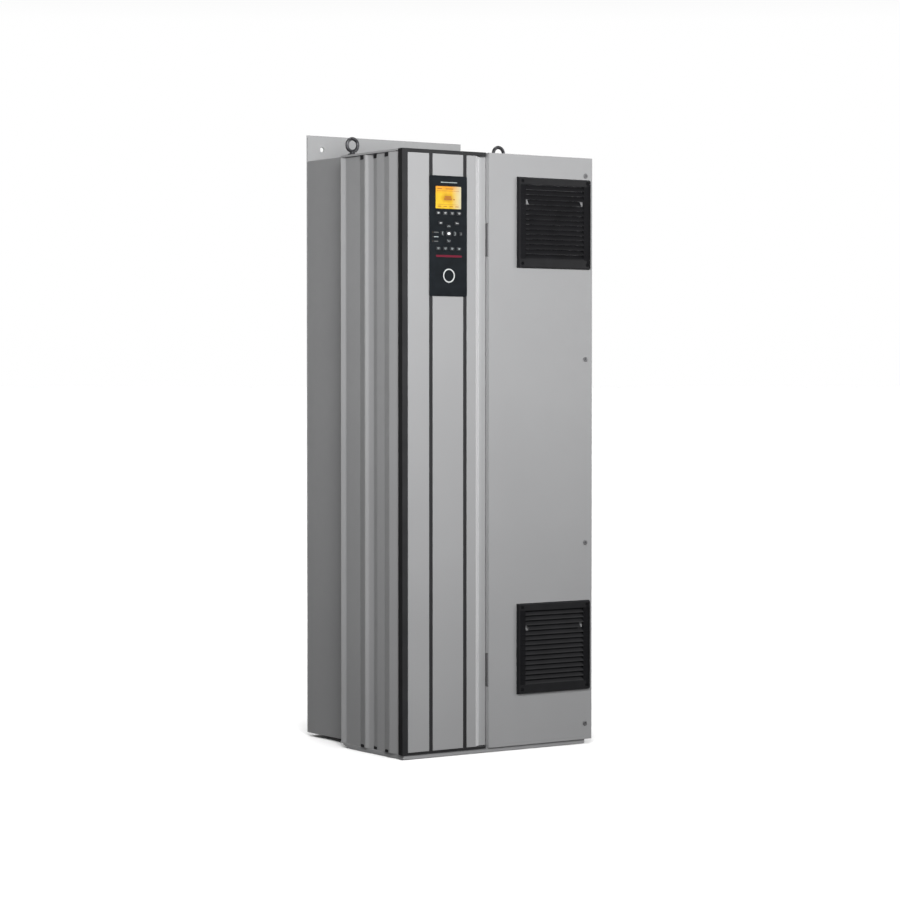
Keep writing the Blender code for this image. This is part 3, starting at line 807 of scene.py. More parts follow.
def combined(operation, base, tools):
    """A Boolean between closed shapes, worked out at once."""
    holders = []
    for name, shape in (("base", base), ("tool", merged(tools))):
        mesh = bpy.data.meshes.new(name)
        shape.to_mesh(mesh)
        shape.free()
        holder = bpy.data.objects.new(name, mesh)
        bpy.context.scene.collection.objects.link(holder)
        holders.append(holder)
    body, tool = holders
    modifier = body.modifiers.new("boolean", "BOOLEAN")
    modifier.operation = operation
    modifier.solver = "EXACT"
    modifier.use_self = True
    modifier.object = tool
    mesh = evaluated(body)
    for holder in holders:
        old = holder.data
        bpy.data.objects.remove(holder)
        bpy.data.meshes.remove(old)
    return taken(mesh)


def carved(base, *tools):
    return combined("DIFFERENCE", base, tools)


def fused(base, *tools):
    return combined("UNION", base, tools)


def cad_shape(node):
    """A CAD node's mesh in millimetres, with its triangles joined back into flat faces."""
    shape = bmesh.new()
    shape.from_mesh(NODES[node].data)
    shape.transform(Matrix.Scale(1 / MM, 4))
    bmesh.ops.remove_doubles(shape, verts=shape.verts, dist=0.002)
    bmesh.ops.dissolve_limit(
        shape, angle_limit=math.radians(0.6), verts=shape.verts, edges=shape.edges
    )
    return shape


# Shown pieces and their fasteners


def piece(name, body, parts, bevel=0.0, segments=2, replaces=()):
    """A shown object from [(material, shapes), ...] that rides on a body."""
    mesh = bpy.data.meshes.new(name)
    whole = bmesh.new()
    for index, (material, shapes) in enumerate(parts):
        mesh.materials.append(material)
        for shape in shapes:
            for face in shape.faces:
                face.material_index = index
                face.smooth = True
            absorb(whole, shape)
    whole.transform(Matrix.Scale(MM, 4))
    whole.to_mesh(mesh)
    whole.free()
    obj = bpy.data.objects.new(name, mesh)
    bpy.context.scene.collection.objects.link(obj)
    if bevel:
        edge = obj.modifiers.new("rounded_edges", "BEVEL")
        edge.width = bevel * MM
        edge.segments = segments
        edge.limit_method = "ANGLE"
        edge.angle_limit = math.radians(32)
        flatten = obj.modifiers.new("flat_faces", "WEIGHTED_NORMAL")
        flatten.weight = 100
    else:
        mesh.set_sharp_from_angle(angle=math.radians(35))
    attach(obj, body)
    if replaces:
        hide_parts(*replaces)
    return obj


def refined(node, material, bevel, segments=2, extra=(), shape=None):
    """Stands for a CAD node with the same shape and rounded edges, and any extra parts."""
    base = shape if shape else cad_shape(node)
    parts = [(material, [base]), *extra]
    return piece(f"fine_{node}", NODES[node]["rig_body"], parts, bevel, segments, [node])


def repaint(obj, material, chosen):
    """Gives the faces that a test picks another material."""
    obj.data.materials.append(material)
    for face in obj.data.polygons:
        if chosen(face):
            face.material_index = len(obj.data.materials) - 1


def screw(at, direction, radius, height):
    """A dished screw head with a socket."""
    profile = [
        (0, height * 0.35),
        (radius * 0.42, height * 0.35),
        (radius * 0.46, height * 0.92),
        (radius * 0.62, height),
        (radius * 0.90, height * 0.78),
        (radius, height * 0.30),
        (radius, 0),
        (0, 0),
    ]
    return turned(profile, at, direction, 20)


def hex_bolt(at, direction, across, height):
    """A hexagon head on a round washer, as two shapes."""
    thick, wide, corner = 1.2, across * 0.86, across * 0.56
    washer = ((0, thick), (across * 0.82, thick), (wide, 0.9), (wide, 0), (0, 0))
    head = ((0, height), (across * 0.46, height), (corner, height * 0.86), (corner, 0), (0, 0))
    seat = Vector(at) + Vector(direction) * thick
    return [turned(washer, at, direction, 28), turned(head, seat, direction, 6)]


def front_bolts(places, y, across, height):
    """Bolts that face forward, at (x, z) places."""
    bolts = []
    for x, z in places:
        bolts += hex_bolt((x, y, z), FORWARD, across, height)
    return bolts


def corner_points(box, in_x, in_z):
    """The (x, z) of four points set in from a box's corners."""
    return [(x, z) for x in widened(box.x, -in_x) for z in widened(box.z, -in_z)]


def edge_points(box, in_x, in_z):
    """The same, with two more halfway along."""
    across = (box.x[0] + in_x, box.middle.x, box.x[1] - in_x)
    return [(x, z) for x in across for z in widened(box.z, -in_z)]


# Cabinet, back plate and channel


def make_back():
    """The back plate with the rims of its holes, and the riveted channel housing in front of it."""
    refined("back_plate", plate_paint(), 0.7, 3)
    refined("rear_channel", grey_paint(), 0.6, 3)
    channel, plate = span("rear_channel"), span("back_plate")
    rivets = [
        screw((x, channel.y[0] + 1.9, z), BACKWARD, 2.6, 1.2)
        for x in (channel.x[0] + 7, channel.x[1] - 7)
        for z in evenly(channel.z[0] + 60, channel.z[1] - 60, 8)
    ]
    piece("channel_rivets", CABINET, [(bright_steel(), rivets)])
    hole_z = plate.z[1] - 26
    rims = []
    for x in (plate.x[0] + 32.5, plate.x[1] - 32.5):
        rim = turned([(0, 0.4), (8.6, 0.4), (9.0, 0), (0, 0)], (x, plate.y[0], hole_z), FORWARD, 40)
        hole = rod((x, plate.y[0] - 5, hole_z), (x, plate.y[0] + 5, hole_z), 4.6, 32)
        rims.append(carved(rim, hole))
    piece("mounting_hole_rims", CABINET, [(plate_paint(), rims)])


def make_lifting_eyes():
    """Forged eye bolts: a smooth ring that flows into a collar, with a shank through the cover."""
    major, minor = 11.7, 3.2
    seat = 1090.4
    stem = ((0, 8.2), (3.0, 8.2), (4.2, 6.8), (5.4, 5.2))
    collar = ((8.6, 4.2), (9.0, 3.4), (9.0, 0.6), (8.6, 0), (0, 0))
    for side in ("left", "right"):
        node = f"lifting_eye_{side}"
        box = span(node)
        x, y = box.middle.x, box.middle.y
        ring = torus((x, y, box.z[1] - major - minor), BACKWARD, major, minor)
        neck = turned(stem + collar, (x, y, seat), UP, 40)
        shank = rod((x, y, box.z[0]), (x, y, seat + 0.6), 4.7, 24)
        refined(node, dark_steel(), 0.0, shape=fused(ring, neck, shank))


def pleats():
    """The left side cover's outer face as (x, y), front to back, from its CAD box."""
    box = span("side_cover_left")
    front, wall = box.y
    set_in = (6, 0, 5, 5, 8, 5, 0, 6, 6, 0)
    along = (0, 29.5, 51.9, 76.9, 92.3, 104.9, 110.5, 135.4, 184.4, wall - front)
    return [(box.x[0] + inset, front + step) for inset, step in zip(set_in, along)]


def make_side_covers():
    """Pleated sheets with soft bends, and dark blocks at the top and bottom of three falls on each side:
    painted shade under the top cover's edge and on the base pan's ledge.
    """
    left = span("side_cover_left")
    bends = pleats()
    sheet = thickened(filleted(bends, 2.4), 1.6)
    for mirror, name in ((1, "side_cover_left"), (-1, "side_cover_right")):
        shape = extruded([(x * mirror, y) for x, y in sheet], "Z", *left.z)
        refined(name, grey_paint(), 0.25, 1, shape=shape)
    # Painted shade: dark blocks at both ends of the rear-tilting falls stand in for the shade in those
    # grooves.
    ends = ((left.z[1] - 7.5, left.z[1] - 0.2), (left.z[0] + 0.2, left.z[0] + 5.2))
    shade_blocks = []
    for mirror in (1, -1):
        for fall in (1, 3, 6):
            (x0, y0), (x1, y1) = bends[fall], bends[fall + 1]
            x, y = x0 * 0.55 + x1 * 0.45, y0 * 0.55 + y1 * 0.45
            wide = min(abs(y1 - y0) * 0.34, 6)
            across = sorted((mirror * (x - 1.3), mirror * (x + 1.2)))
            shade_blocks += [block(across, (y - wide, y + wide), z) for z in ends]
    piece("side_cover_shade_blocks", CABINET, [(black_plastic(), shade_blocks)], 0.4)


def make_top_cover():
    """A folded lid with six screws sunk into it."""
    top = span("top_cover")
    hollow = block(widened(top.x, -2), widened(top.y, -2), (top.z[0] - 2, top.z[1] - 1.8))
    lid = carved(block(top.x, top.y, top.z), hollow)
    across = (top.x[0] + 22, top.middle.x, top.x[1] - 22)
    places = [(x, y) for x in across for y in widened(top.y, -14)]
    lid = carved(lid, *[rod((x, y, top.z[1] - 0.9), (x, y, top.z[1] + 2), 5.2, 24) for x, y in places])
    heads = [screw((x, y, top.z[1] - 1.1), UP, 4.2, 1.0) for x, y in places]
    refined("top_cover", grey_paint(), 0.6, 3, [(bright_steel(), heads)], shape=lid)


def make_base():
    """The base pan, and the gland plate with its knock-out rings and screws."""
    refined("base_pan", grey_paint(), 0.6, 3)
    gland = span("gland_plate")
    bottom = gland.z[0]
    rings = [
        torus((x, gland.middle.y, bottom + 0.1), UP, radius, 0.5, 48, 8)
        for x, radius in zip(evenly(gland.x[0] + 42, gland.x[1] - 42, 5), (18, 26, 26, 26, 18))
    ]
    heads = [
        screw((x, y, bottom), DOWN, 4, 2.2)
        for x in (gland.x[0] + 8, gland.middle.x, gland.x[1] - 8)
        for y in (gland.y[0] + 7, gland.y[1] - 7)
    ]
    extra = [(plated_steel(), rings), (bright_steel(), heads)]
    refined("gland_plate", plated_steel(), 0.3, 2, extra)


def make_frame():
    """The plated inner cabinet and its bolts, with none where the control bracket stands."""
    for node in ("front_frame", "back_wall"):
        refined(node, plated_steel(), 0.35, 2)
    box, wall, card = span("front_frame"), span("back_wall"), span("control_card")
    bolts = []
    for x in (box.x[0] + 10, box.x[0] + 166, box.x[1] - 10):
        for z in evenly(box.z[0] + 60, box.z[1] - 60, 5):
            at_bracket = x < card.x[1] and card.z[0] - 8 < z < card.z[1] + 8
            if not at_bracket:
                bolts += hex_bolt((x, box.y[1], z), BACKWARD, 7, 4)
    heights = (wall.z[0] + 90, wall.z[0] + 480, wall.z[1] - 120)
    places = [(x, z) for z in heights for x in (wall.x[0] + 20, wall.x[1] - 20)]
    bolts += front_bolts(places, wall.y[0], 7, 4)
    piece("frame_fasteners", CABINET, [(bright_steel(), bolts)], 0.2, 1)


def make_gasket():
    """The door's foam seal, stuck round the door bay."""
    panel = span("door_panel")
    outer_x = (panel.x[0] + 20.5, panel.x[1] - 23)
    outer_z = (panel.z[0] + 16.2, panel.z[1] - 19)
    front, back = panel.y[1] + 0.3, span("front_frame").y[0] - 0.1
    width = 5.0
    ring = extruded(rounded_rectangle(outer_x, outer_z, 6), "Y", front, back)
    inner = rounded_rectangle(widened(outer_x, -width), widened(outer_z, -width), 2)
    hole = extruded(inner, "Y", front - 2, back + 2)
    piece("door_seal", CABINET, [(foam(), [carved(ring, hole)])], 1.0, 3)


def make_hinges():
    """Each hinge: a leaf with screws, and three knuckles round a pin."""
    panel = span("door_panel")
    x, y = panel.x[0] + 2.3, panel.y[0] + 5.5
    for side in SIDES:
        node = f"door_hinge_{side}"
        box = span(node)
        z = box.middle.z
        heads = [screw((box.x[1] - 5, box.y[1] - 1.2, z + dz), FORWARD, 2.6, 0.6) for dz in (-20, 0, 20)]
        reaches = ((-30, -11), (-9, 9), (11, 30))
        knuckles = [rod((x, y, z + low), (x, y, z + high), 3.0, 28) for low, high in reaches]
        extra = [(bright_steel(), heads), (hinge_steel(), knuckles)]
        refined(node, hinge_steel(), 0.25, 2, extra)


# Control cover, strips and keypad


def make_control_cover():
    """The black tray, its three strips and the cradle for the keypad."""
    cover = refined("control_cover", cover_plastic(), 0.5, 3)
    # Painted shade: faces turned to -X get the darker, duller copy of the tray's plastic.
    repaint(cover, cover_painted_shade(), lambda face: face.normal.x < -0.5)
    for number in (1, 2):
        refined(f"strip_{number}", grey_paint(), 0.45, 3)
    make_bevelled_strip()
    refined("keypad_cradle", black_plastic(), 0.5, 2)


def make_bevelled_strip():
    """The third strip, with a painted highlight down its bevel and painted light in the groove beside the
    door, each a paler copy of the grey coat.
    """
    strip = refined("strip_3", grey_paint(), 0.45, 3)
    front = span("strip_3").y[0]
    # Painted highlight: the bevel's faces get a paler, glossier copy of the grey coat.
    repaint(strip, bevel_painted_highlight(), lambda face: face.normal.x > 0.3 and face.normal.y < -0.3)
    # Painted light: the groove's floor gets a lighter copy of the grey coat, so it reads as bright as the
    # strips' fronts.
    repaint(strip, groove_painted_light(), lambda face: face.normal.y < -0.9 and face.center.y / MM > front + 1)


def printed(outline, face):
    """An outline printed a hair proud of a front face."""
    return extruded(outline, "Y", face - 0.06, face + 0.3)


def turned_mark(corners, x, z, face, angle):
    """A printed outline, turned about its own middle."""
    turn = Matrix.Rotation(math.radians(angle), 2)
    return printed([Vector((x, z)) + turn @ Vector(corner) for corner in corners], face)


def bar_mark(x, z, face, half_wide, half_tall):
    """A printed dash."""
    return block((x - half_wide, x + half_wide), (face - 0.06, face + 0.3), (z - half_tall, z + half_tall))


def arrow_mark(x, z, face, size, angle):
    """A printed triangle that points right, turned by an angle."""
    corners = ((size, 0), (-size * 0.7, size), (-size * 0.7, -size))
    return turned_mark(corners, x, z, face, angle)


def chevron_mark(x, z, face, half_long, half_tall, angle):
    """A printed chevron that points right, turned by an angle."""
    stroke = 1.1
    corners = (
        (-half_long, half_tall),
        (-half_long + stroke, half_tall),
        (half_long, 0),
        (-half_long + stroke, -half_tall),
        (-half_long, -half_tall),
        (half_long - stroke, 0),
    )
    return turned_mark(corners, x, z, face, angle)


def key_marks(name, box, face):
    """The marks on one key, as (material, shapes)."""
    x, z = box.middle.x, box.middle.z
    arrows = {"key_up": 90, "key_down": -90, "key_left": 180, "key_right": 0}
    if name in arrows:
        half_long, half_tall = (1.2, 3.3) if name in ("key_left", "key_right") else (1.5, 3.0)
        return grey_ink(), [chevron_mark(x, z, face, half_long, half_tall, arrows[name])]
    if name == "key_ok":
        return white_ink(), [printed(rounded_rectangle((x - 3.0, x + 3.0), (z - 2.2, z + 2.2), 2.0), face)]
    if name == "key_info":
        return grey_ink(), [bar_mark(x, z + 1.5, face, 0.5, 0.5), bar_mark(x, z - 0.6, face, 0.5, 1.3)]
    if name in ("key_back", "key_cancel"):
        side = 180 if name == "key_back" else 0
        return pale_ink(), [arrow_mark(x - 1.2, z, face, 1.5, side), bar_mark(x + 1.6, z, face, 1.5, 0.55)]
    bottom_row = ("key_hand_on", "key_off", "key_auto_on", "key_reset")
    material = grey_ink() if name in bottom_row else pale_ink()
    return material, [bar_mark(x, z + 0.9, face, 2.6, 0.5), bar_mark(x, z - 0.9, face, 1.8, 0.5)]


def make_keys():
    """Rubber keys with domed, rounded tops and printed marks."""
    for name in KEYS:
        box = span(name)
        cap = extruded(rounded_rectangle(box.x, box.z, 1.5), "Y", *box.y)
        material, marks = key_marks(name, box, box.y[0])
        made = refined(name, key_rubber(), 0.45, 3, [(material, marks)], shape=cap)
        made.modifiers["rounded_edges"].angle_limit = math.radians(60)


def make_keypad_body(body, screen):
    """A rounded shell on a tub, with a recessed film front and a pocket for the screen and each key."""
    front = body.y[0]
    shell = extruded(rounded_rectangle(body.x, body.z, 3.0), "Y", front, front + 1.7)
    tub_x = (body.x[0] + 10.1, body.x[1] - 9.7)
    tub = block(tub_x, (front + 1.0, body.y[1]), (body.z[0] + 8.2, body.z[1] - 7.7))
    shell = fused(shell, tub)
    rim, gap = 2.6, 0.3
    film = rounded_rectangle(widened(body.x, -rim), widened(body.z, -rim), 2.2)
    recess = extruded(film, "Y", front - 2, front + FILM_DEPTH)
    pockets = [block(widened(screen.x, gap), (front - 3, screen.y[1] + gap), widened(screen.z, gap))]
    for name in KEYS:
        box = span(name)
        outline = rounded_rectangle(widened(box.x, gap), widened(box.z, gap), 1.7)
        pockets.append(extruded(outline, "Y", front - 3, box.y[1] + 1.0))
    shell = carved(shell, recess, *pockets)
    refined("keypad_body", fascia_plastic(), 0.3, 2, shape=shell)


def make_lamps(x, top, face):
    """Three indicator lamps in a column, each with a dash for its label."""
    dashes, lamps = [], []
    for row in range(3):
        z = top - row * 8.0
        dashes.append(bar_mark(x, z, face, 5.2 - row * 0.5, 0.7))
        lamps.append(rod((x - 7.4, face + 0.3, z), (x - 7.4, face - 0.25, z), 1.0, 16))
    labels = [(faint_ink(), [dashes[0], dashes[2]]), (grey_ink(), [dashes[1]])]
    piece("keypad_lamp_labels", KEYPAD, labels)
    piece("keypad_lamps", KEYPAD, [(lamp_lens(), lamps)], 0.2)


def make_screen(screen):
    """The lit panel with plain bars where a reading would be."""
    panel = extruded(rounded_rectangle(screen.x, screen.z, 1.2), "Y", screen.y[0] + 0.15, screen.y[1])
    refined("keypad_screen", amber_screen(), 0.12, 2, shape=panel)
    face = screen.y[0] + 0.15
    x, z = screen.middle.x, screen.middle.z
    marks = [
        bar_mark(x - 19, z + 15.5, face, 5.0, 0.8),
        bar_mark(x + 2, z + 15.5, face, 8.0, 0.8),
        bar_mark(x - 1, z + 11.6, face, 24.0, 0.25),
        bar_mark(x - 1, z + 1.2, face, 7.0, 1.5),
        bar_mark(x - 1, z - 3.0, face, 8.6, 1.7),
        bar_mark(x + 12, z - 3.4, face, 2.0, 0.9),
        bar_mark(x - 1, z - 12.6, face, 24.0, 0.25),
    ]
    marks += [bar_mark(x - 19.5 + step * 12.6, z - 16.0, face, 3.6, 0.7) for step in range(4)]
    piece("keypad_screen_marks", KEYPAD, [(screen_mark(), marks)])


def make_keypad():
    """The operator panel: its body, lamps, plain printed marks and lit screen."""
    body, screen = span("keypad_body"), span("keypad_screen")
    make_keypad_body(body, screen)
    face = body.y[0] + FILM_DEPTH
    make_lamps(body.x[0] + 13.4, span("key_ok").middle.z + 1.6, face)
    x = body.middle.x + 1
    heading = bar_mark(x, screen.z[1] + 7.0, face, 17.5, 0.7)
    piece("keypad_heading_rule", KEYPAD, [(grey_ink(), [heading])])
    stripe_z = span("key_off").z[0] - 10.5
    stripe = printed(rounded_rectangle((x - 28, x + 28), (stripe_z - 1.9, stripe_z + 1.9), 1.8), face)
    piece("keypad_accent_stripe", KEYPAD, [(red_ink(), [stripe])])
    ring_z = (stripe_z + body.z[0]) / 2 + 1
    hole = extruded(circle(x, ring_z, 10.4), "Y", face - 1, face + 1)
    ring = carved(printed(circle(x, ring_z, 12.5), face), hole)
    piece("keypad_ring_mark", KEYPAD, [(pale_ink(), [ring])])
    make_screen(screen)


# Door


def make_door():
    """The door's folded panel, with stiffeners and an earth stud inside."""
    panel = span("door_panel")
    refined("door_panel", grey_paint(), 0.8, 3)
    inside = panel.y[0] + 1.6
    low, high = span("lower_filter_mat").z[1] + 30, span("upper_filter_mat").z[0] - 30
    ribs = []
    for x in (panel.x[0] + 42, panel.x[1] - 42):
        outline = ((x - 9, inside), (x - 5, inside + 6), (x + 5, inside + 6), (x + 9, inside))
        ribs.append(extruded(outline, "Z", low, high))
    piece("door_stiffeners", DOOR, [(grey_paint(), ribs)], 0.8, 3)
    earth = hex_bolt((panel.x[0] + 36, inside, panel.z[0] + 50), BACKWARD, 6, 3.5)
    piece("door_earth_stud", DOOR, [(bright_steel(), earth)], 0.2)


def make_locks():
    """Quarter-turn locks: a dished head with a square socket, a shank, and a tongue behind."""
    radius = 4.5
    profile = ((0, 1.5), (3.4, 1.5), (4.3, 1.1), (radius, 0.5), (radius, 0), (0, 0))
    for number in range(1, 5):
        node = f"door_lock_{number}"
        box = span(node)
        x, z = box.middle.x, box.z[0] + radius
        front, back = box.y
        head = turned(profile, (x, front + 1.5, z), FORWARD, 40)
        socket = block(*around((0, front, 0), (1.9, 1.1, 1.9)))
        socket.transform(Matrix.Translation((x, 0, z)) @ Matrix.Rotation(math.pi / 4, 4, "Y"))
        head = carved(head, socket)
        pip = rod((x, front + 1.3, z), (x, front + 0.45, z), 0.8, 16)
        shank = rod((x, front + 1.4, z), (x, back, z), 2.4, 28)
        outline = rounded_rectangle((x - 2.4, x + 2.4), (z - 2.4, z + 14), 2.3)
        tongue = extruded(outline, "Y", back - 2.5, back)
        inner = [(dark_steel(), [pip, shank]), (bright_steel(), [tongue])]
        refined(node, lock_steel(), 0.2, 2, inner, shape=head)


def slat(x, y, z, height):
    """One louvre blade that leans back from its lower front edge, curved a little."""
    front, back = y
    lower, upper = z - height / 2, z + height / 2
    bends = [(front, lower), (front + 0.5, lower + 1.8), (back - 0.4, upper - 1.0), (back, upper)]
    return extruded(thickened(filleted(bends, 1.6, 3), 1.2), "X", *x)


def beside(face, hole_x, hole_z):
    """Whether a face lies on a grille's frame, to the left or right of its opening, where the bands get
    painted shade.
    """
    x, z = face.center.x / MM, face.center.z / MM
    level = hole_z[0] < z < hole_z[1]
    return level and not hole_x[0] <= x <= hole_x[1] and abs(face.normal.y) > 0.9


def make_surround(box, hole_x, hole_z, corners):
    """A grille's frame, with sloped edges, sunk side bands and a well for each screw."""
    front, back = box.y
    lean = 2.2
    surround = extruded(rounded_rectangle(box.x, box.z, 1.2, 4), "Y", front, back)
    for vertex in surround.verts:
        if vertex.co.y < (front + back) / 2:
            vertex.co.x += lean if vertex.co.x < box.middle.x else -lean
            vertex.co.z += lean if vertex.co.z < box.middle.z else -lean
    opening = block(hole_x, (front - 5, back + 5), hole_z)
    bands = [
        block(x, (front - 1, front + 0.9), hole_z)
        for x in ((box.x[0] + 4.5, hole_x[0] + 1), (hole_x[1] - 1, box.x[1] - 4.5))
    ]
    wells = [rod((x, front - 1, z), (x, front + 1.6, z), 3.4, 28) for x, z in corners]
    return carved(surround, opening, *bands, *wells)


def make_grille(side):
    """A moulded frame with leaning blades, corner screws, and a latch notch at each end of one blade."""
    node = f"{side}_grille"
    box = span(node)
    front, back = box.y
    border, top_border = 17.0, 13.5
    hole_x = (box.x[0] + border, box.x[1] - border)
    hole_z = (box.z[0] + border, box.z[1] - top_border)
    corners = [(x, z) for x in (box.x[0] + 9.5, box.x[1] - 9.5) for z in (box.z[0] + 8.5, box.z[1] - 7.0)]
    surround = make_surround(box, hole_x, hole_z, corners)
    count = 15
    pitch = (hole_z[1] - hole_z[0]) / count
    latch_row, latch_wide = count - 4, 7.0
    bands = ((box.x[0] + 5.5, hole_x[0] - 0.5), (hole_x[1] + 0.5, box.x[1] - 5.5))
    blades, ribs = [], []
    for index in range(count):
        z = hole_z[0] + pitch * index
        gap = latch_wide if index == latch_row else -0.5
        reach = (hole_x[0] + gap, hole_x[1] - gap)
        blades.append(slat(reach, (front + 0.5, back - 0.5), z + pitch / 2, pitch * 0.94))
        ribs += [block(x, (front + 0.55, front + 1.2), (z + 0.5, z + 2.1)) for x in bands]
    heads = [screw((x, front + 1.5, z), FORWARD, 2.7, 1.1) for x, z in corners]
    extra = [(black_plastic(), blades + ribs), (matt_black_and_painted_shade(), heads)]
    made = refined(node, black_plastic(), 0.4, 2, extra, shape=surround)
    # Painted shade: the sunk bands beside the opening get the darker, duller matt black.
    repaint(made, matt_black_and_painted_shade(), lambda face: beside(face, hole_x, hole_z))


def make_filter(side):
    """A felt mat with a soft, uneven face."""
    node = f"{side}_filter_mat"
    box = span(node)
    outline = rounded_rectangle(box.x, box.z, 3.0, 4)
    mat = extruded(outline, "Y", box.y[0] + 0.3, box.y[1] - 0.1)
    refined(node, filter_felt(), 1.0, 3, shape=mat)


# Fans


def blade(hub, tip, chord, pitch_hub, pitch_tip, thickness=1.5, rows=8, columns=8):
    """One cambered, twisted fan blade along +X, with the rotor's axis along Z."""
    shape = bmesh.new()
    grid = []
    for row in range(rows + 1):
        t = row / rows
        radius = hub + (tip - hub) * t
        pitch = math.radians(pitch_hub + (pitch_tip - pitch_hub) * t)
        width = chord * (0.86 + 0.30 * math.sin(math.pi * t * 0.75))
        line = []
        for column in range(columns + 1):
            u = column / columns - 0.5
            camber = 0.09 * width * (1 - 4 * u * u)
            across, up = u * width, camber
            swing = across * math.cos(pitch) - up * math.sin(pitch)
            rise = across * math.sin(pitch) + up * math.cos(pitch)
            angle = swing / radius + 0.16 * t
            line.append(shape.verts.new((radius * math.cos(angle), radius * math.sin(angle), rise)))
        grid.append(line)
    for row in range(rows):
        for column in range(columns):
            shape.faces.new(
                (grid[row][column], grid[row + 1][column], grid[row + 1][column + 1], grid[row][column + 1])
            )
    bmesh.ops.recalc_face_normals(shape, faces=shape.faces)
    bmesh.ops.solidify(shape, geom=shape.faces[:], thickness=thickness)
    bmesh.ops.recalc_face_normals(shape, faces=shape.faces)
    return shape


def make_rotor(node, axis, hub, chord, pitches):
    """A domed hub with seven twisted blades that stays inside the CAD rotor's box."""
    box = span(node)
    middle = box.middle
    low, high = box.y if axis == "Y" else box.z
    length = high - low
    tip = (box.x[1] - box.x[0]) / 2 - 0.8
    turn = facing(BACKWARD) if axis == "Y" else Matrix.Identity(4)
    base = Vector((middle.x, low, middle.z)) if axis == "Y" else Vector((middle.x, middle.y, low))
    profile = (
        (0, length),
        (hub * 0.72, length),
        (hub * 0.94, length - 1.2),
        (hub, length - 3.5),
        (hub, 1.5),
        (hub * 0.9, 0.3),
        (hub * 0.45, 0.0),
        (hub * 0.42, 1.2),
        (0, 1.2),
    )
    cap = turned(profile, (0, 0, 0), UP, 48)
    vanes = []
    for index in range(7):
        vane = blade(hub - 1.5, tip, chord, *pitches)
        spin = Matrix.Rotation(index * math.tau / 7, 4, "Z")
        vane.transform(Matrix.Translation((0, 0, length / 2)) @ spin)
        vanes.append(vane)
    for shape in (cap, *vanes):
        shape.transform(Matrix.Translation(base) @ turn)
    refined(node, black_plastic(), 0.0, extra=[(black_plastic(), vanes)], shape=cap)


def make_channel_fan():
    """The big fan's plate, its shroud, the wire guard under the mouth, and the rotor."""
    plate, rotor = span("heat_sink_fan_frame"), span("heat_sink_fan_rotor")
    x, y = rotor.middle.x, rotor.middle.y
    mouth = 75.0
    top = plate.z[1] - 0.7
    refined("heat_sink_fan_frame", plated_steel(), 0.4, 2)
    profile = ((0, 24), (mouth + 1.6, 24), (mouth + 2.6, 22), (mouth + 2.6, 3), (mouth + 8, 0), (0, 0))
    bore = rod((x, y, top - 5), (x, y, top + 40), mouth - 0.6, 64)
    shroud = carved(turned(profile, (x, y, top), UP, 64), bore)
    piece("fan_shroud", CABINET, [(black_plastic(), [shroud])], 0.3)
    rings = [torus((x, y, plate.z[0] + 0.4), UP, radius, 1.1, 64, 10) for radius in (34, 46, 58, 70)]
    piece("fan_guard", CABINET, [(bright_steel(), rings)])
    make_rotor("heat_sink_fan_rotor", "Z", 26, 34, (46, 27))


def make_door_fan():
    """The door fan: a square housing with corner screws, a wire guard on struts, and the rotor."""
    housing, rotor = span("door_fan_frame"), span("door_fan_rotor")
    x, z = rotor.middle.x, rotor.middle.z
    half = (housing.x[1] - housing.x[0]) / 2
    back = housing.y[1]
    heads = [
        screw((x + sx * (half - 6), back, z + sz * (half - 6)), BACKWARD, 3.4, 1.6)
        for sx in (-1, 1)
        for sz in (-1, 1)
    ]
    guard = [torus((x, back - 0.2, z), BACKWARD, radius, 0.9, 56, 8) for radius in (14, 25, 36, 47)]
    reach = half * 1.25
    for angle in (45, 135, 225, 315):
        turn = math.radians(angle)
        end = (x + math.cos(turn) * reach, back + 0.3, z + math.sin(turn) * reach)
        guard.append(wire([(x, back + 0.3, z), end], 0.9))
    refined("door_fan_frame", black_plastic(), 0.5, 2, [(bright_steel(), heads)])
    piece("door_fan_guard", DOOR, [(bright_steel(), guard)])
    make_rotor("door_fan_rotor", "Y", 19, 24, (44, 26))


# Power parts


def make_modules():
    """Bolted-down semiconductor modules with stepped cases and screw terminals."""
    for node in ("inverter_module", "rectifier_module"):
        box = span(node)
        front, wall = box.y
        plate = block(box.x, (wall - 4, wall), box.z)
        bolts = front_bolts(corner_points(box, 7, 8), wall - 18, 7, 4)
        terminals, pads = [], []
        for x in evenly(box.x[0] + 26, box.x[1] - 26, 5):
            for z in (box.z[0] + 11, box.z[1] - 11):
                pads.append(block((x - 8, x + 8), (wall - 19.4, wall - 17.5), (z - 8, z + 8)))
                terminals.append(screw((x, wall - 19.4, z), FORWARD, 4.6, 3.0))
        rib_x, rib_y = (box.x[0] + 20, box.x[1] - 20), (front - 0.5, front + 1)
        rows = [box.middle.z + step * 7 for step in range(-2, 3)]
        ribs = [block(rib_x, rib_y, (z - 0.9, z + 0.9)) for z in rows]
        extra = [
            (aluminium(), [plate]),
            (copper(), pads),
            (bright_steel(), bolts + terminals),
            (component_plastic(), ribs),
        ]
        refined(node, component_plastic(), 0.8, 3, extra)


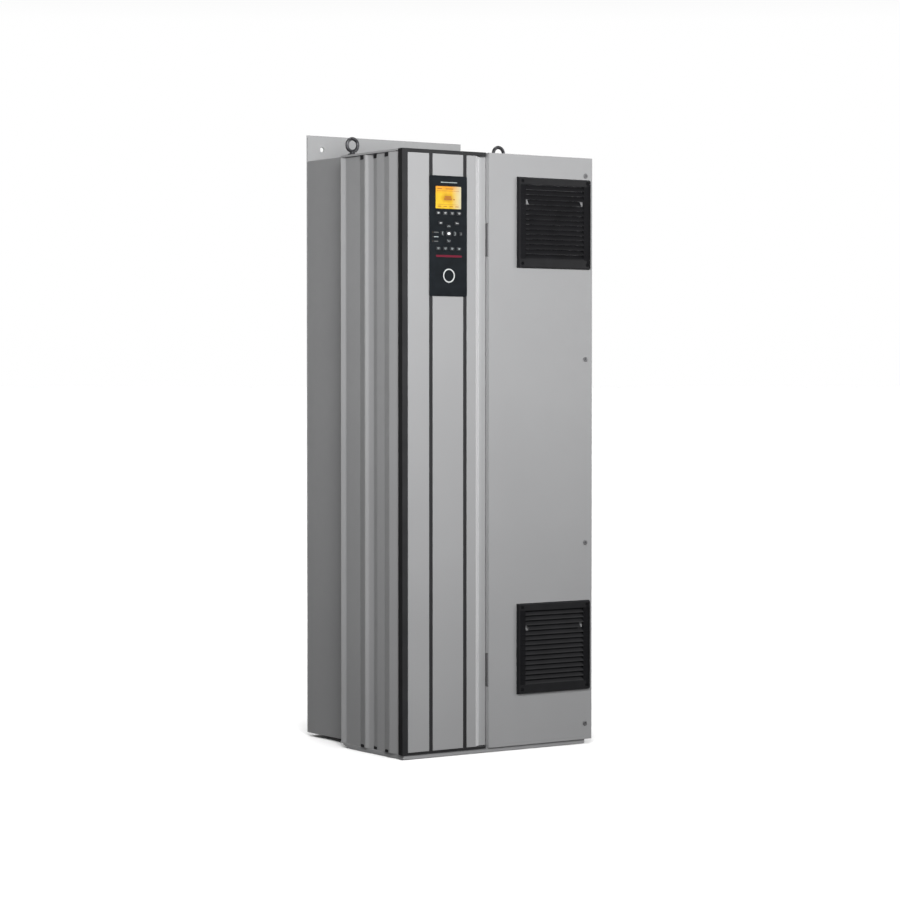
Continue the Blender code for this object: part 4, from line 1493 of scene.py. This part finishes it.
def make_capacitors():
    """Eight screw-terminal cans in clamps, joined by two pairs of bus bars."""
    box = span("capacitor_bank")
    front, wall = box.y
    plate = block(box.x, (wall - 5, wall), box.z)
    columns = [box.x[0] + 36 + step * 68 for step in range(4)]
    rows = [box.z[0] + 52, box.z[0] + 154]
    can = ((0, 93.5), (26.5, 93.5), (28.6, 93.2), (29.4, 92), (29.4, 0), (0, 0))
    lid = ((0, 93.9), (23, 93.9), (24, 94.2), (26.6, 94.4), (27.4, 93.6), (27.4, 93), (0, 93))
    clamp = ((0, 16), (30, 16), (30, 4), (0, 4))
    cans, lids, metal, bars = [], [], [], []
    for x in columns:
        for z in rows:
            at = (x, wall - 5, z)
            cans.append(turned(can, at, FORWARD, 48))
            lids.append(turned(lid, at, FORWARD, 48))
            metal.append(turned(clamp, at, FORWARD, 48))
    for dx, depth, reach in ((-11, 1.6, (-16, 5)), (11, 4.0, (-5, 16))):
        for z in rows:
            across = (columns[0] + dx - 9, columns[-1] + dx + 9)
            bars.append(block(across, (front + depth, front + depth + 1.8), (z + reach[0], z + reach[1])))
            metal += [rod((x + dx, front + 6, z), (x + dx, front + 0.6, z), 4.4, 24) for x in columns]
            metal += front_bolts([(x + dx, z) for x in columns], front + depth, 4.2, 2.0)
    metal += front_bolts(edge_points(box, 8, 8), wall - 5, 6, 3.5)
    extra = [
        (capacitor_sleeve(), cans),
        (can_aluminium(), lids),
        (bright_steel(), metal),
        (copper(), bars),
    ]
    refined("capacitor_bank", plated_steel(), 0.4, 2, extra, shape=plate)


def make_choke():
    """A laminated core with two wound coils, taped ends and clamping bolts."""
    box = span("dc_choke")
    front, wall = box.y
    core = block(box.x, (front + 18, wall), box.z)
    coils, tapes = [], []
    for x in ((box.x[0] + 18, box.x[0] + 64), (box.x[0] + 80, box.x[0] + 126)):
        outline = rounded_rectangle(x, (front, wall - 1), 9)
        coils.append(extruded(outline, "Z", box.z[0] + 22, box.z[1] - 22))
        wrap = rounded_rectangle(widened(x, 0.5), (front, wall - 1), 9.5)
        for z in ((box.z[0] + 20, box.z[0] + 28), (box.z[1] - 28, box.z[1] - 20)):
            tapes.append(extruded(wrap, "Z", *z))
    bolts = front_bolts(edge_points(box, 9, 10), front + 18, 7, 4.5)
    extra = [(winding_copper(), coils), (pale_plastic(), tapes), (bright_steel(), bolts)]
    refined("dc_choke", laminated_steel(), 0.8, 2, extra, shape=core)


def make_filter_can():
    """The mains filter: a folded can with a lid seam, and studs on insulators."""
    box = span("emi_filter")
    front, wall = box.y
    can = block(box.x, (front + 20, wall), box.z)
    lid = block(box.x, (front + 19, front + 26), box.z)
    profile = ((0, 7), (6.5, 7), (7.5, 6), (8.5, 1.5), (8.5, 0), (0, 0))
    places = [(box.x[0] + dx, box.z[0] + dz) for dx in (30, 75, 120) for dz in (18, 98)]
    insulators = [turned(profile, (x, front + 20, z), FORWARD, 32) for x, z in places]
    studs = [rod((x, front + 16, z), (x, front + 0.1, z), 3.9, 24) for x, z in places]
    studs += front_bolts(places, front + 13, 6.6, 4)
    extra = [(plated_steel(), [lid]), (component_plastic(), insulators), (bright_steel(), studs)]
    refined("emi_filter", plated_steel(), 1.2, 3, extra, shape=can)


def phases(box):
    """The x of each of a terminal block's three studs."""
    return [box.x[0] + 24.5 + index * 45.5 for index in range(3)]


def make_terminals():
    """Stud terminal blocks with barriers, and the copper bars from the mains studs to the filter."""
    for node in ("mains_terminals", "motor_terminals"):
        box = span(node)
        front, middle = box.y[0], box.middle.z
        pad_y, pad_z = (front + 20, front + 22.2), (box.z[0] + 8, box.z[1] - 8)
        pads = [block((x - 17, x + 17), pad_y, pad_z) for x in phases(box)]
        nuts = front_bolts([(x, middle) for x in phases(box)], front + 17.2, 10, 6)
        nuts += [rod((x, front + 12, middle), (x, front + 2.1, middle), 4.9, 24) for x in phases(box)]
        extra = [(copper(), pads), (bright_steel(), nuts)]
        refined(node, component_plastic(), 0.7, 3, extra)
    mains, can = span("mains_terminals"), span("emi_filter")
    lower, upper = mains.y[0] + 19.6, can.y[0] + 13.2
    bends = (
        (lower, mains.middle.z - 12),
        (lower, mains.z[1] + 6),
        (upper, can.z[0] - 14),
        (upper, can.z[0] + 30),
    )
    outline = thickened(filleted(bends, 6, 4), 2.4)
    bars = [extruded(outline, "X", x - 9, x + 9) for x in phases(mains)]
    piece("mains_bus_bars", CABINET, [(copper(), bars)], 0.5, 2)


def make_ground_bar():
    """A copper bar with six earthing studs."""
    box = span("ground_bar")
    back, z = box.y[1], box.middle.z
    bar = block(box.x, (back - 10, back), box.z)
    places = [(box.x[0] + 25 + index * 50, z) for index in range(6)]
    bolts = front_bolts(places, back - 10, 10, 6)
    bolts += [rod((x, back - 17, z), (x, box.y[0] + 0.1, z), 3.9, 24) for x, z in places]
    refined("ground_bar", copper(), 0.8, 3, [(bright_steel(), bolts)], shape=bar)


def make_heat_sink():
    refined("heat_sink", aluminium(), 0.3, 2)


# Cards


def chip(x, z, face, half_wide, half_tall, height=1.6):
    """A flat package and its rows of legs, as (body, legs)."""
    across, up = (x - half_wide, x + half_wide), (z - half_tall, z + half_tall)
    body = block(across, (face - height, face - 0.2), up)
    count = max(int(half_wide * 2 / 1.8), 3)
    rows = ((up[0] - 1.4, up[0]), (up[1], up[1] + 1.4))
    legs = [
        block((leg - 0.3, leg + 0.3), (face - 0.7, face), row)
        for leg in evenly(across[0] + 0.9, across[1] - 0.9, count)
        for row in rows
    ]
    return body, legs


def chips(x0, z0, face, sizes):
    """Packages at (x, z, half width, half height) from a board's corner, as (bodies, legs)."""
    bodies, legs = [], []
    for x, z, half_wide, half_tall in sizes:
        body, pins = chip(x0 + x, z0 + z, face, half_wide, half_tall)
        bodies.append(body)
        legs += pins
    return bodies, legs


def small_parts(draw, x, z, face, count):
    """Scattered surface-mounted parts within two ranges, in tidy rows."""
    made = []
    for _ in range(count):
        px = x[0] + draw.randrange(int((x[1] - x[0]) / 4)) * 4
        pz = z[0] + draw.randrange(int((z[1] - z[0]) / 4)) * 4
        half = (1.0, 0.6) if draw.random() < 0.5 else (0.6, 1.0)
        made.append(block((px - half[0], px + half[0]), (face - 0.9, face), (pz - half[1], pz + half[1])))
    return made


def make_power_card(draw):
    """The power card: coil, relays, capacitors, transformer, header and small parts in relief."""
    card = span("power_card")
    x0, z0 = card.x[0], card.z[0]
    face = card.y[0] + 30

    def part(x, z, height):
        return block((x0 + x[0], x0 + x[1]), (face - height, face), (z0 + z[0], z0 + z[1]))

    board = block(card.x, (face, face + 1.8), card.z)
    places = corner_points(card, 8, 10)
    posts = [rod((x, face + 1.5, z), (x, card.y[1], z), 3.0, 20) for x, z in places]
    nuts = front_bolts(places, face, 5, 3)
    coil_x, coil_z = x0 + 50, z0 + 328
    foot = rod((coil_x, face - 3, coil_z), (coil_x, face, coil_z), 27, 32)
    coil = fused(torus((coil_x, face - 12, coil_z), BACKWARD, 19, 9.5, 48, 16), foot)
    relays = [part((112 + i * 34, 140 + i * 34), (292, 330), 17.5) for i in range(3)]
    can = ((0, 17), (9, 17), (10.4, 16.2), (10.6, 15), (10.6, 0), (0, 0))
    can_top = ((0, 17.4), (8.2, 17.4), (8.6, 16.9), (0, 16.8))
    seats = [(x0 + 122 + i * 26, face, z0 + 352) for i in range(4)]
    caps = [turned(can, at, FORWARD, 32) for at in seats]
    cap_tops = [turned(can_top, at, FORWARD, 32) for at in seats]
    slots = [
        block((x0 + 23 + i * 9.8, x0 + 29 + i * 9.8), (face - 13, face - 6), (z0 + 20, z0 + 28))
        for i in range(20)
    ]
    header = carved(part((20, 220), (18, 32), 12), *slots)
    transformer = part((142, 208), (120, 186), 20)
    wound = rounded_rectangle((x0 + 150, x0 + 200), (z0 + 134, z0 + 172), 5)
    bobbin = extruded(wound, "Y", face - 22, face)
    sizes = ((60, 210, 11, 8), (60, 160, 8, 6), (110, 230, 7, 7), (190, 230, 12, 4), (60, 100, 14, 5))
    bodies, legs = chips(x0, z0, face, sizes)
    scatter = small_parts(draw, (x0 + 20, card.x[1] - 20), (z0 + 50, z0 + 110), face, 90)
    scatter += small_parts(draw, (x0 + 20, x0 + 130), (z0 + 240, z0 + 285), face, 50)
    extra = [
        (winding_copper(), [coil, bobbin]),
        (component_plastic(), relays + bodies + scatter),
        (capacitor_sleeve(), caps),
        (can_aluminium(), cap_tops),
        (pale_plastic(), [header]),
        (laminated_steel(), [transformer]),
        (bright_steel(), legs + nuts + posts),
    ]
    refined("power_card", circuit_board(), 0.25, 2, extra, shape=board)


def make_control_card(draw):
    """The control card and the plated bracket that carries it."""
    card = span("control_card")
    sheet = 2.0
    bracket = [
        block(card.x, (card.y[1] - sheet, card.y[1]), card.z),
        block((card.x[0], card.x[0] + sheet), card.y, card.z),
    ]
    x0, x1 = card.x[0] + 20, card.x[1] - 2
    z0, z1 = card.z[0] + 7, card.z[1] - 7
    face = card.y[1] - 8
    board = block((x0, x1), (face, face + 1.8), (z0, z1))
    posts = [
        rod((x, face - 2, z), (x, card.y[1] - 1, z), 3.0, 20)
        for x in (x0 + 8, x1 - 8)
        for z in (z0 + 8, z1 - 8)
    ]
    rows = []
    for low in (z0 + 14, z0 + 36):
        strip = block((x0 + 10, x1 - 10), (face - 13.8, face), (low, low + 14))
        holes = []
        for i in range(18):
            x = x0 + 14.6 + i * 5.5
            holes.append(block((x - 1.6, x + 1.6), (face - 10, face - 3), (low - 2, low + 4)))
            holes.append(rod((x, face - 15, low + 9.5), (x, face - 11, low + 9.5), 1.7, 12))
        rows.append(carved(strip, *holes))
    main_chip, main_legs = chip(x0 + 62, z0 + 154, face, 15, 15, 2.6)
    sizes = ((30, 110, 8, 5), (60, 100, 6, 6), (95, 110, 9, 5), (100, 170, 5, 10), (24, 170, 5, 9))
    bodies, legs = chips(x0, z0, face, sizes)
    plug = block((x0 + 26, x0 + 96), (face - 12, face), (z0 + 232, z0 + 244))
    plug = carved(plug, block((x0 + 29, x0 + 93), (face - 14, face - 3), (z0 + 235, z0 + 241)))
    scatter = small_parts(draw, (x0 + 12, x1 - 12), (z0 + 70, z0 + 94), face, 60)
    scatter += small_parts(draw, (x0 + 12, x1 - 12), (z0 + 188, z0 + 222), face, 80)
    extra = [
        (plated_steel(), bracket),
        (connector_plastic(), rows),
        (component_plastic(), [main_chip, *bodies, plug, *scatter]),
        (bright_steel(), main_legs + legs + posts),
    ]
    refined("control_card", circuit_board(), 0.2, 2, extra, shape=board)


def make_cards():
    """Both cards share one run of random draws for their small parts."""
    draw = random.Random(SEED)
    make_power_card(draw)
    make_control_card(draw)


def build():
    make_camera()
    make_lights()
    make_world()
    make_floor()
    make_back()
    make_lifting_eyes()
    make_side_covers()
    make_top_cover()
    make_base()
    make_frame()
    make_gasket()
    make_hinges()
    make_control_cover()
    make_keys()
    make_keypad()
    make_door()
    make_locks()
    for side in SIDES:
        make_grille(side)
        make_filter(side)
    make_channel_fan()
    make_door_fan()
    make_modules()
    make_capacitors()
    make_choke()
    make_filter_can()
    make_terminals()
    make_ground_bar()
    make_cards()
    make_heat_sink()
    bpy.context.scene.view_settings.view_transform = "Standard"


build()
